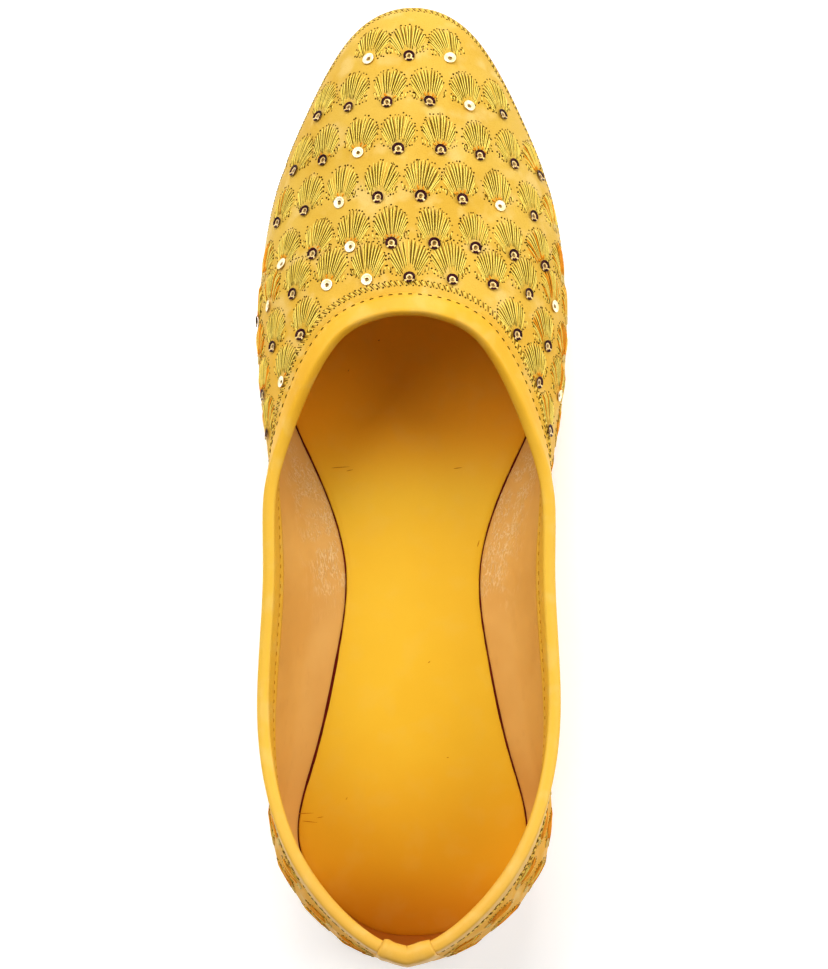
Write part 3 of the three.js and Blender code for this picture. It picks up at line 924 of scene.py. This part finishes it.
# Borders of short slanted stitches beside the sole and beside the binding
borderPlan = {
    "pitch": 1.6,
    "low": (2.4, 4.2),  # distances up from the sole
    "high": (8.3, 6.9),  # distances down from the rim
    "slant": 0.9,
    "thread": (0.0, 0.18, 1.0),  # place in the pitch, thread radius, share of the rise
    "shade": (0.5, 0.15, 0.5),
    "rise": (-0.05, 0.1, 0.1, -0.05),
    "taper": (0.6, 1.0, 1.0, 0.6),
}


def borderRows(kind):
    meshes, holes = [], []
    place, radius, rise = borderPlan[kind]
    for name, climbOf in (("low", lambda t, d: climbAboveSole(t, d)[0]), ("high", climbBelowRim)):
        near, far = borderPlan[name]
        fine, run = roundRun(lambda t: climbOf(t, near))
        starts = np.interp(np.arange(0, run[-1] - 0.5, borderPlan["pitch"]), run, fine)
        perTurn = np.interp(starts, fine, np.gradient(run, fine))
        slant = borderPlan["slant"] / perTurn
        starts = starts + place * borderPlan["pitch"] / perTurn
        turns = starts[:, None] + slant[:, None] * np.array([0, 0.33, 0.67, 1])[None, :]
        climbs = np.stack([climbOf(turns[:, k], near + (far - near) * k / 3) for k in range(4)], 1)
        point, normal, _, _ = upperFrame(turns, climbs)
        height = relief(point, climbs) + rise * np.array(borderPlan["rise"])
        thick = np.broadcast_to(radius * np.array(borderPlan["taper"]), turns.shape)
        meshes.append(threadMesh(point + height[..., None] * normal, normal, thick))
        holes += [(turns[:, k], climbs[:, k]) for k in (0, 3)]
    return joined(meshes), holes


borderThreads, borderHoles = borderRows("thread")
makePiece("borderThreads", borderThreads, ["goldThread"])
makePiece("borderShade", borderRows("shade")[0], ["oliveThreadAndShade"])
holeTurn, holeClimb, holeShare = fanHoles()
holeTurn = np.concatenate([holeTurn] + [turn for turn, _ in borderHoles])
holeClimb = np.concatenate([holeClimb] + [climb for _, climb in borderHoles])
holeSize = holePlan["size"] * rng.uniform(0.75, 1.2, len(holeTurn))
holeSize[:len(holeShare)] *= holeShare
makePiece("needleHoles", holeMesh(holeTurn, holeClimb, holeSize), ["needleHole"])


# Cup sequins at the foot of the fans
sequinPlan = {
    "radius": 1.55,
    "segments": 32,
    "profile": ((1, 0.5), (0.8, 0.42), (0.56, 0.3), (0.38, 0.24), (0.16, 0.22),  # share of radius, height
                (0.16, 0.06), (0.38, 0.1), (0.56, 0.17), (0.8, 0.3), (1, 0.4)),
    "depth": 1.1,
    "lift": 0.12,
    "tilt": 0.1,
    "glintSpots": (  # row and girth of each one in the middle painted white as a glint
        (0, -11), (0, 11), (1, 16), (2, -14), (3, -18), (3, 22), (4, -15), (5, -21), (5, -10)),
    "middle": 32.0,
    "sideGlints": 0.35,  # share beyond it painted white as a glint
    "finishes": ("glintFoil", "darkReflectionFoil", "cupFoil", "paleReflectionFoil"),
}


def sequinMesh():
    profile = np.array(sequinPlan["profile"])
    n, rows = sequinPlan["segments"], len(profile)
    angle = np.arange(n) * 2 * np.pi / n
    middle = (np.arange(n) + 0.5) * 360 / n
    upperArc = (middle < 216) | (middle > 324)  # painted dark reflection, on the side turned from the light
    lowerBar = np.abs(middle - 270) < 34
    meshes, which = [], []
    lift = relief(fanPoint, fanClimb) + sequinPlan["lift"]
    white = np.abs(fanGirth) > sequinPlan["middle"]
    white &= rng.uniform(0, 1, fanCount) < sequinPlan["sideGlints"]
    for row, girth in sequinPlan["glintSpots"]:
        white[np.argmin(np.abs(fanGirth - girth) + 100 * np.abs(fanRow - row))] = True
    for spot in np.flatnonzero(hasSequin):
        tilt = rng.normal(0, sequinPlan["tilt"], 2)
        normal = unit(fanNormal[spot] + tilt[0] * fanHeading[spot] + tilt[1] * fanAcross[spot])
        across = unit(np.cross(fanHeading[spot], normal))
        ahead = np.cross(normal, across)
        centre = fanPoint[spot] + lift[spot] * fanNormal[spot]
        radius = sequinPlan["radius"] * rng.uniform(0.94, 1.06)
        ring = np.cos(angle)[:, None] * across + np.sin(angle)[:, None] * ahead
        body = centre + radius * profile[:, None, :1] * ring
        meshes.append(closedShell(body + profile[:, None, 1:] * sequinPlan["depth"] * normal))
        # the ring's reflections are painted: a dark arc and bar beside pale sides, or white all over where
        # it glints
        shade = np.zeros((rows, n), int)
        shade[3:5] = 2  # the thread hole in the middle
        if not white[spot]:
            shade[:3] = 3
            shade[np.ix_((0, 1, 7, 8, 9), np.flatnonzero(upperArc | lowerBar))] = 1
        which += shade.ravel().tolist()
    return joined(meshes), which


sequins, sequinShades = sequinMesh()
makePiece("sequins", sequins, sequinPlan["finishes"], which=sequinShades)


# Lining, from the sole up to the binding's inner edge
lining = {
    "around": 432,
    "up": 40,
    "top": 0.985,  # the climb where it ends, under the binding
    "outer": 0.95,  # depths in the wall
    "inner": 1.8,
    "wrinkle": 0.1,
    "wrinkled": (-52, -24, -4, 20),  # where along the shoe
    "footHeight": 2.5,  # up to here it turns in under the edge of the insole
    "footInset": 2.02,
    "backInset": 0.45,
    "footFade": 11.0,
    "tan": (222, 175, 101),
    "deep": (214, 164, 91),
    "crumpled": (186, 130, 68),
    # painted shade at the back, where the heel's wall shades the lining
    "rear": (162, 92, 14),
    "paintedLight": (244, 212, 158),  # painted highlights in thin strokes on fine wrinkles, low down at the waist
    "highlightSlant": 0.2,
    "highlightAlong": (-40, -22, 0, 16),
    "highlightHeight": (13, 24),
    "rearShadeAlong": (-104, -116),
}
place, feed, bumps = newFinish("liningLeather", {"Specular IOR Level": 0.45})
along = place.axis("Y")
crumple = place.stretch(1.0, 0.5, 1.0).noise(2.6, 3, 0.6)
slanted = place.add("ShaderNodeMapping", {"vector_type": "TEXTURE"}, {
    "Vector": place, "Rotation": (lining["highlightSlant"], 0.0, 0.0), "Scale": (1.0, 12.0, 1.0)})
strokes = slanted.noise(0.7, 2, 0.5)
crinkle = (1 - 9.0 * abs(strokes - 0.5)).between(0.35, 0.98)  # thin lines in the noise
start, full, less, end = lining["highlightAlong"]
waistOnly = along.between(start, full) * (1 - along.between(less, end))
lowOnly = 1 - place.axis("Z").between(*lining["highlightHeight"])
# painted highlights: pale strokes on fine wrinkles, which also get bumps and less roughness
paintedLight = waistOnly * lowOnly * place.noise(5, 2).between(0.38, 0.56) * crinkle
tan = place.noise(22, 3).between(0.35, 0.68).blend(lining["tan"], lining["deep"])
tan = (0.14 * crumple.between(0.55, 0.8)).blend(tan, lining["crumpled"])
# painted shade at the back of the lining
tan = along.between(*lining["rearShadeAlong"]).blend(tan, lining["rear"])
feed("Base Color", (0.75 * paintedLight).blend(tan, lining["paintedLight"]))
feed("Roughness", 0.46 - 0.12 * paintedLight)
bumps(0.15 * crumple + paintedLight, 0.25, 0.6)
liningClimb = np.linspace(0, lining["top"], lining["up"] + 1)
gridTurn, gridClimb = np.meshgrid(turnsRound(lining["around"]), liningClimb)
point, normal, _, _ = upperFrame(gridTurn, gridClimb)
y, z = point[..., 1], point[..., 2]
ripple = np.sin(y * 0.9 + 2.2 * np.sin(z * 0.35)) * np.sin(y * 0.37 + 1.0)
wrinkled = window(*lining["wrinkled"], y) * window(0, 0.08, 0.25, 0.7, gridClimb)
liningIn = point - (lining["inner"] + lining["wrinkle"] * ripple * wrinkled)[..., None] * normal
liningOut = point - lining["outer"] * normal
outDirection = outward("featherX", "featherY", gridTurn)
feather = np.stack([around["featherX"](gridTurn), around["featherY"](gridTurn), liningIn[..., 2]], -1)
inset = dot(feather - liningIn, outDirection)[..., 0]
rise = liningIn[..., 2] - topHeight(liningIn[..., 1])
atBed = np.array([np.interp(lining["footHeight"], r, i) for r, i in zip(rise[:16].T, inset[:16].T)])
nearBack = 1 - smoothStep(1.2, 2.0, np.minimum(gridTurn, ribCount - gridTurn))
footInset = lining["footInset"] + lining["backInset"] * nearBack
fill = np.clip(footInset - atBed, 0, 4) * (1 - smoothStep(lining["footHeight"], lining["footFade"], rise))
fill = np.where(rise < lining["footHeight"], np.clip(footInset - inset, 0, fill), fill)
liningIn -= fill[..., None] * outDirection
makePiece("lining", wallShell(liningOut, liningIn), ["liningLeather"])


# Binding, folded over the whole top line
bindingPlan = {
    "around": 720,
    "outer": ((4.8, 0.3), (4.72, 0.52), (4.5, 0.64), (4.25, 0.55),  # distance from the rim, thickness
              (3.95, 0.68), (3.3, 0.78), (2.2, 0.82), (0.9, 0.8)),
    "inner": ((0.9, 0.74), (2.6, 0.78), (3.6, 0.7), (4.0, 0.58), (4.35, 0.56), (4.75, 0.66),
              (5.8, 0.66), (6.7, 0.56), (6.9, 0.3)),
    "crest": 0.8,
    "snug": 0.1,  # how far its back stands off the wall
    "outerEnd": 5.4,  # what is folded over it lies on the wall again from here
    "innerEnd": 7.0,
    "bend": (0, 22, 45, 68, 90, 112, 135, 158, 180),  # degrees over the rim
}


def foldSection(turns, plan):  # a strip folded over the rim: its face, then its back
    rim, normal, _, alongClimb = upperFrame(turns, np.ones_like(turns))
    rising, wall, close = unit(alongClimb), last["wall"], plan["snug"]
    face, back = [], []

    def leg(rows, end, start, sign):
        for distance, offset in rows:
            climb = climbBelowRim(turns, distance)
            hug = close if distance < end else bindingPlan["snug"]
            face.append(wallPoint(turns, climb, start + sign * offset))
            back.append(wallPoint(turns, climb, start + sign * hug))

    leg(plan["outer"], bindingPlan["outerEnd"], 0, -1)
    outEdge, inEdge = plan["outer"][-1][1], plan["inner"][0][1]
    for angle in np.radians(bindingPlan["bend"]):
        reach = wall / 2 + (outEdge if angle < np.pi / 2 else inEdge)
        depth = wall / 2 - reach * np.cos(angle)
        face.append(rim - depth * normal + plan["crest"] * np.sin(angle) * rising)
        depth = wall / 2 - (wall / 2 + close) * np.cos(angle)
        back.append(rim - depth * normal + close * np.sin(angle) * rising)
    leg(plan["inner"], bindingPlan["innerEnd"], wall, 1)
    return np.stack(face + back[::-1])


makePiece("collarBinding", closedShell(foldSection(turnsRound(bindingPlan["around"]), bindingPlan)),
          ["bindingLeather"], "collar_binding")

# The strip over the binding's joint at the back
tabPlan = {
    "halfWidth": 8.2,
    "steps": 24,
    "outer": ((12.6, 0.3), (12.5, 0.65), (12.0, 0.8), (11.0, 0.85), (8.0, 1.0), (6.2, 1.3), (5.2, 1.5),
              (3.0, 1.6), (0.9, 1.58)),
    "inner": ((0.9, 1.54), (3.0, 1.56), (5.0, 1.5), (6.4, 1.15), (7.6, 0.95), (7.9, 0.6)),
    "crest": 1.58,
    "snug": 0.86,  # it lies over the binding
    "skived": 0.55,  # how much thinner its cut ends are
    "fold": 0.22,  # soft folds near its ends
}
tabReach = tabPlan["halfWidth"] / np.linalg.norm(upperPoint(0.0, 1) - upperPoint(1.0, 1))
tabShare = np.linspace(-1, 1, tabPlan["steps"] + 1)
tabRings = foldSection(tabShare * tabReach, tabPlan)
half = len(tabRings) // 2
thinner = 1 - tabPlan["skived"] * smoothStep(0.86, 1, np.abs(tabShare))
fold = tabPlan["fold"] * np.sin(tabShare * 9.0) * smoothStep(0.35, 0.8, np.abs(tabShare))
tabBack = tabRings[half:][::-1]
tabRings[:half] = tabBack + (tabRings[:half] - tabBack) * (thinner * (1 + fold))[None, :, None]
tabFaces = ringFaces(len(tabShare), 2 * half, False)
for start, flip in ((0, True), (tabPlan["steps"] * 2 * half, False)):
    for k in range(half - 1):
        quad = [start + i for i in (k, k + 1, 2 * half - k - 2, 2 * half - k - 1)]
        tabFaces.append(quad if flip else quad[::-1])
makePiece("heelTab", (tabRings.transpose(1, 0, 2).reshape(-1, 3), tabFaces), ["bindingLeather"],
          "heel_tab")


# Stitches that hold the binding, outside and inside
seamPlan = {
    "outside": (4.38, -0.6, "oliveThreadAndShade"),  # distance from the rim, depth in the wall, thread
    "inside": (4.2, last["wall"] + 0.57, "seamThread"),
    "pitch": 2.5,
    "dash": 1.3,
    "radius": 0.14,
    "rise": (-0.22, 0.06, 0.1, 0.06, -0.22),
    "tabClear": 1.05,
}


def bindingSeam(distance, depth):
    fine, run = roundRun(lambda t: climbBelowRim(t, distance))
    starts = np.arange(0, run[-1] - seamPlan["pitch"] / 2, seamPlan["pitch"])
    turns = np.interp(starts[:, None] + np.linspace(0, seamPlan["dash"], 5)[None, :], run, fine)
    climbs = climbBelowRim(turns.ravel(), distance).reshape(turns.shape)
    point, normal, _, _ = upperFrame(turns, climbs)
    inward = -1 if depth < 0 else 1
    centre = point - (depth + inward * np.array(seamPlan["rise"]))[None, :, None] * normal
    fromBack = np.abs((turns[:, 2] + toeRib) % ribCount - toeRib)
    clear = fromBack > tabReach * seamPlan["tabClear"]
    thick = np.full(turns.shape, seamPlan["radius"])
    return threadMesh(centre[clear], -inward * normal[clear], thick[clear])


for name, side in (("bindingStitches", "outside"), ("innerStitches", "inside")):
    distance, depth, thread = seamPlan[side]
    makePiece(name, bindingSeam(distance, depth), [thread])


# Insole sock, with the dark glued edge beside it, the gap's shade painted in with it
def soleRing(turns, inset, heightAt):
    point = np.stack([around["featherX"](turns), around["featherY"](turns), np.zeros_like(turns)], -1)
    shift = inset(point[:, 1]) if callable(inset) else inset
    point = point - np.asarray(shift)[..., None] * outward("featherX", "featherY", turns)
    point[:, 2] = heightAt(point[:, 1])
    return point


insolePlan = {
    "around": 480,
    "thickness": 2.2,
    "gap": 0.4,
    "toeEase": 0.8,
    "toeFrom": (80, 115),
    "rings": 14,
    "dish": 0.35,
    "spine": (-104, 108),
}
bedTop = last["seat"] + insolePlan["thickness"]


def insoleInset(extra):
    side = last["wall"] + insolePlan["gap"] + extra
    return lambda y: side + insolePlan["toeEase"] * smoothStep(*insolePlan["toeFrom"], y)


def dished(share):  # how deep the sock dips, by the share of the way in from its edge
    return insolePlan["dish"] * smoothStep(0, 0.7, share)


insoleTurn = turnsRound(insolePlan["around"])
insoleRings = [
    soleRing(insoleTurn, insoleInset(extra), lambda y: topHeight(y) + height) for extra, height in (
        (0.1, last["seat"]), (0.0, 0.7), (0.0, bedTop - 0.5), (0.15, bedTop - 0.15), (0.5, bedTop))]
edge = insoleRings[-1]
spine = forward * np.clip(edge[:, 1:2], *insolePlan["spine"])
for share in np.linspace(0, 0.97, insolePlan["rings"])[1:]:
    ring = edge + (spine - edge) * share
    ring[:, 2] = topHeight(ring[:, 1]) + bedTop - dished(share)
    insoleRings.append(ring)
makePiece("insoleSock", cappedShell(insoleRings), ["insoleSatin"], "insole")

edgePlan = {
    "dark": 0.27,
    "outset": 0.06,
    "drop": 0.16,
    "turns": (1.55, 9.2),
    "steps": 260,
    "thicker": (0.9, 0.4),  # at the rear, on the left and on the right
    "rear": (-92, -70, -50, -34),
}


def edgeLines():  # the glued edge beside the insole, with the gap's painted shade: an uneven dark line on each side
    lines, thick = [], []
    along = np.linspace(0, 1, edgePlan["steps"])
    ends = window(0, 0.12, 0.92, 1, along)
    for right, more in enumerate(edgePlan["thicker"]):
        start, end = [ribCount - t if right else t for t in edgePlan["turns"]]
        centre = soleRing(np.linspace(start, end, edgePlan["steps"]), insoleInset(-edgePlan["outset"]),
                          lambda y: topHeight(y) + bedTop - edgePlan["drop"])
        rear = window(*edgePlan["rear"], centre[:, 1])
        y = centre[:, 1] + 40 * right  # so that the two lines differ
        uneven = 0.72 + 0.2 * np.sin(y * 0.21 + np.sin(y * 0.09))
        uneven = uneven + 0.14 * np.sin(y * 0.83 + 2 * np.sin(y * 0.17)) + more * rear
        lines.append(centre)
        thick.append(edgePlan["dark"] * uneven * (0.3 + 0.7 * ends))
    return threadMesh(np.array(lines), np.broadcast_to(up, np.shape(lines)), np.array(thick), 0.9, 8)


makePiece("insoleEdge", edgeLines(), ["gluedEdgeAndGapShade"])

markPlan = {
    "radius": 0.13,
    "taper": (0.3, 0.9, 1.0, 0.7, 0.3),
    "marks": (  # specks and scratches on the insole: across, along, half length, heading in degrees
        (-9.2, 37.5, 0.35, 20), (-17.4, 29.4, 0.3, 70), (-19.5, 3.4, 2.4, 4), (-17.0, 2.6, 0.9, 12),
        (4.4, -48.6, 0.4, 40), (-17.6, -85.0, 0.4, 60), (9.4, -74.0, 0.3, 15), (-29.0, -89.0, 2.6, 3),
        (-27.4, -91.2, 2.0, -6), (12.0, 3.2, 1.2, 8), (-24.6, -90.0, 0.8, 10), (17.5, -17.0, 0.9, 75),
    ),
}


def insoleMarks():
    across, along, half, heading = np.array(markPlan["marks"]).T
    turned = np.radians(heading)[:, None]
    step = np.linspace(-1, 1, 5)[None, :] * half[:, None]
    x, y = across[:, None] + step * np.cos(turned), along[:, None] + step * np.sin(turned)
    edgeSide = edge[np.argsort(edge[:, 1])]
    room = np.interp(y, edgeSide[:, 1], np.abs(edgeSide[:, 0]))
    centre = np.stack([x, y, topHeight(y) + bedTop - dished(1 - np.abs(x) / room)], -1)
    thick = np.broadcast_to(markPlan["radius"] * np.array(markPlan["taper"]), x.shape)
    return threadMesh(centre, np.broadcast_to(up, centre.shape), thick, 0.5)


makePiece("insoleScratches", insoleMarks(), ["insoleScratch"])


# Outsole: rubber unit with oval studs ahead of a ribbed heel
rubberPlan = {
    "around": 720,
    "margin": 0.5,
    "groove": 0.45,
    "ribPitch": 1.35,
    "ribWidth": 0.8,
    "ribCrest": 0.72,  # share of the width that is left at the tread
    "ribHeight": 0.55,
    "tone": (172, 131, 103),
    "deep": (158, 118, 91),
    "speck": (128, 92, 68),
}
place, feed, bumps = newFinish("soleRubber", {"Specular IOR Level": 0.3})
crepe = place.noise(0.9, 4, 0.65)
tone = place.noise(30, 3).between(0.35, 0.7).blend(rubberPlan["tone"], rubberPlan["deep"])
feed("Base Color", (0.5 * crepe.between(0.45, 0.75)).blend(tone, rubberPlan["speck"]))
feed("Roughness", 0.68 + 0.2 * crepe)
bumps(crepe + 0.4 * place.cells(1.4), 0.16, 0.8)
draft, bevel, breast = soleShape["edgeDraft"], soleShape["edgeBevel"], soleShape["breast"]
margin = draft + bevel + rubberPlan["margin"]


def grooveFloor(y):
    return fieldHeight(y) + rubberPlan["groove"] * (1 - smoothStep(breast - 1.5, breast - 0.9, y))


rubberRings = [soleRing(turnsRound(rubberPlan["around"]), inset, heightAt) for inset, heightAt in (
    (margin + 0.2, grooveFloor),
    (margin, fieldHeight),
    (draft + bevel, fieldHeight),
    (draft + 0.45 * bevel, lambda y: fieldHeight(y) + 0.18 * bevel),  # rounded lower edge
    (draft + 0.1 * bevel, lambda y: fieldHeight(y) + 0.55 * bevel),
    (draft, lambda y: fieldHeight(y) + bevel),
    (0.5 * draft, lambda y: 0.5 * (fieldHeight(y) + bevel + topHeight(y))),
    (0.0, lambda y: topHeight(y) - 0.5),
    (-soleShape["overhang"], lambda y: topHeight(y) - 0.22),
    (0.05, topHeight),
    (1.0, topHeight),
)]
rightEdge = rubberRings[1][rubberPlan["around"] // 2:]
rightEdge = rightEdge[np.argsort(rightEdge[:, 1])]
edgeX, edgeY = np.abs(rightEdge[:, 0]), rightEdge[:, 1]


def heelRibs():
    meshes = []
    w, high = rubberPlan["ribWidth"] / 2, rubberPlan["ribHeight"]
    crest = rubberPlan["ribCrest"] * w
    section = ((-w, high, 0), (-crest, 0.0, 0.3), (crest, 0.0, 0.3), (w, high, 0))  # along, height, inset
    faces = [[0, 1, 5, 4], [1, 2, 6, 5], [2, 3, 7, 6], [3, 0, 4, 7], [3, 2, 1, 0], [4, 5, 6, 7]]
    for y in np.arange(edgeY[0] + 1.2, breast - 1.3, rubberPlan["ribPitch"]):
        reach = np.interp(y, edgeY, edgeX) + 0.15
        if reach > 3:
            points = [(side * (reach - inset), y + dy, z) for side in (-1, 1) for dy, z, inset in section]
            meshes.append((np.array(points), faces))
    return meshes


studPlan = {
    "across": 7.8,
    "along": 11.0,
    "columnPitch": 12.4,
    "rowPitch": 13.5,
    "firstRow": 119.5,
    "rows": 14,
    "sides": 40,
    "tipRow": 116.4,  # end rows keep clear of tip and heel
    "tipAlong": 8.4,
    "heelClear": 8.6,
    "stud": ((0.15, 1.0), (0.05, 0.5), (-0.12, 0.14), (-0.45, 0.0),  # how much wider, height over the tread
             (-1.3, 0.0), (-1.9, 0.06), (-2.8, 0.06)),
    # a dark ring round each stud's foot: painted shade in the groove
    "groove": ((0.2, 0.72), (0.35, 0.6), (0.7, 0.6), (0.85, 0.72)),
}


def studMeshes():
    studs, grooveShades = [], []
    n = studPlan["sides"]
    angle = np.arange(n) * 2 * np.pi / n

    def ovals(centreX, centreY, along, profile):
        rings = []
        for grow, height in profile:
            x = centreX + (studPlan["across"] / 2 + grow) * np.cos(angle)
            y = np.clip(centreY + (along / 2 + grow) * np.sin(angle), edgeY[0] + 1, edgeY[-1] - 1.2)
            limit = np.interp(y, edgeY, edgeX) + 0.4
            z = np.minimum(treadHeight(y) + height, fieldHeight(y) + 0.3)
            rings.append(np.stack([np.clip(x, -limit, limit), y, z], -1))
        return np.stack(rings)

    for row in range(studPlan["rows"]):
        along = studPlan["along"] if row else studPlan["tipAlong"]
        y = studPlan["firstRow"] - row * studPlan["rowPitch"]
        y = np.clip(y, breast + studPlan["heelClear"], studPlan["tipRow"])
        for column in range(-4, 5):
            x = (column + (0 if row % 2 else 0.5)) * studPlan["columnPitch"]
            if abs(x) > np.interp(y, edgeY, edgeX) + 1.6:
                continue
            rings = ovals(x, y, along, studPlan["stud"])
            faces = ringFaces(len(rings), n, False)
            faces.append(list(range(n)))
            faces.append(list(range(len(rings) * n - 1, (len(rings) - 1) * n - 1, -1)))
            studs.append((rings.reshape(-1, 3), faces))
            grooveShades.append(closedShell(ovals(x, y, along, studPlan["groove"])))
    return studs, grooveShades


studs, grooveShades = studMeshes()
makePiece("outsoleUnit", joined([cappedShell(rubberRings)] + heelRibs() + studs), ["soleRubber"],
          "outsole")
# painted shade round the studs
makePiece("studGrooveShades", joined(grooveShades), ["studGrooveShade"])


# Floor, light and camera
stagePlan = {
    "floor": 16.0,
    "lamps": {  # power, size, place
        "toeLight": (7.7, 0.6, (0.0, 1.0, 1.0)),
        "leftLight": (12.1, 1.0, (-0.74, 0.64, 1.02)),
        "rightLight": (11.8, 1.0, (1.06, 0.42, 0.86)),
        "heelLight": (3.4, 0.9, (0.0, -1.0, 1.0)),
    },
    "world": 0.06,
    "whites": (0.93, 0.91),  # light and less light patches of the floor
    "glow": 0.24,  # the floor itself glows a little, painted light, more so far off
    "farGlow": 0.85,
    "glowFrom": 500.0,
    "glowTo": 1500.0,
    "cameraSide": 30.0,  # the camera stands a little to the shoe's right
    "cameraAlong": -1.2,
    "cameraHeight": 900.0,
    "lens": 123.8,
}


def grey(value):
    return [value, value, value, 1]


place, feed, _ = newFinish("paleFloor", {
    "Roughness": 0.9, "Specular IOR Level": 0.1, "Emission Strength": 1.0})
far = place.axis("X") ** 2.0 + place.axis("Y") ** 2.0
far = far.between(stagePlan["glowFrom"] ** 2, stagePlan["glowTo"] ** 2)
feed("Emission Color", far.blend(grey(stagePlan["glow"]), grey(stagePlan["farGlow"])))
patches = place.noise(120, 2).between(0.3, 0.7)
feed("Base Color", patches.blend(*[grey(white) for white in stagePlan["whites"]]))
s = stagePlan["floor"] / 2
floorMesh = bpy.data.meshes.new("floor")
floorMesh.from_pydata([(-s, -s, 0), (s, -s, 0), (s, s, 0), (-s, s, 0)], [], [(0, 1, 2, 3)])
floorMesh.materials.append(finishes["paleFloor"])
floor = bpy.data.objects.new("floor", floorMesh)
bpy.context.collection.objects.link(floor)

for name, (power, size, place) in stagePlan["lamps"].items():
    lamp = bpy.data.lights.new(name, "AREA")
    lamp.energy, lamp.size = power, size
    light = bpy.data.objects.new(name, lamp)
    light.location = place
    light.rotation_euler = (-Vector(place)).to_track_quat("-Z", "Y").to_euler()
    bpy.context.collection.objects.link(light)

world = bpy.data.worlds.new("studio")
world.use_nodes = True
background = world.node_tree.nodes["Background"]
background.inputs["Color"].default_value = grey(1)
background.inputs["Strength"].default_value = stagePlan["world"]
bpy.context.scene.world = world
bpy.context.scene.view_settings.view_transform = "Standard"
bpy.context.scene.view_settings.look = "Medium High Contrast"

camera = bpy.data.objects.new("camera", bpy.data.cameras.new("camera"))
camera.data.lens = stagePlan["lens"]
camera.data.sensor_width = 36
camera.data.clip_start = 0.05
camera.location = [stagePlan[name] * mm for name in ("cameraSide", "cameraAlong", "cameraHeight")]
tilt = np.arctan2(stagePlan["cameraSide"], stagePlan["cameraHeight"])
camera.rotation_euler = (0, float(tilt), 0)
bpy.context.collection.objects.link(camera)
bpy.context.scene.camera = camera
print("stage: floor, lights and camera ready")
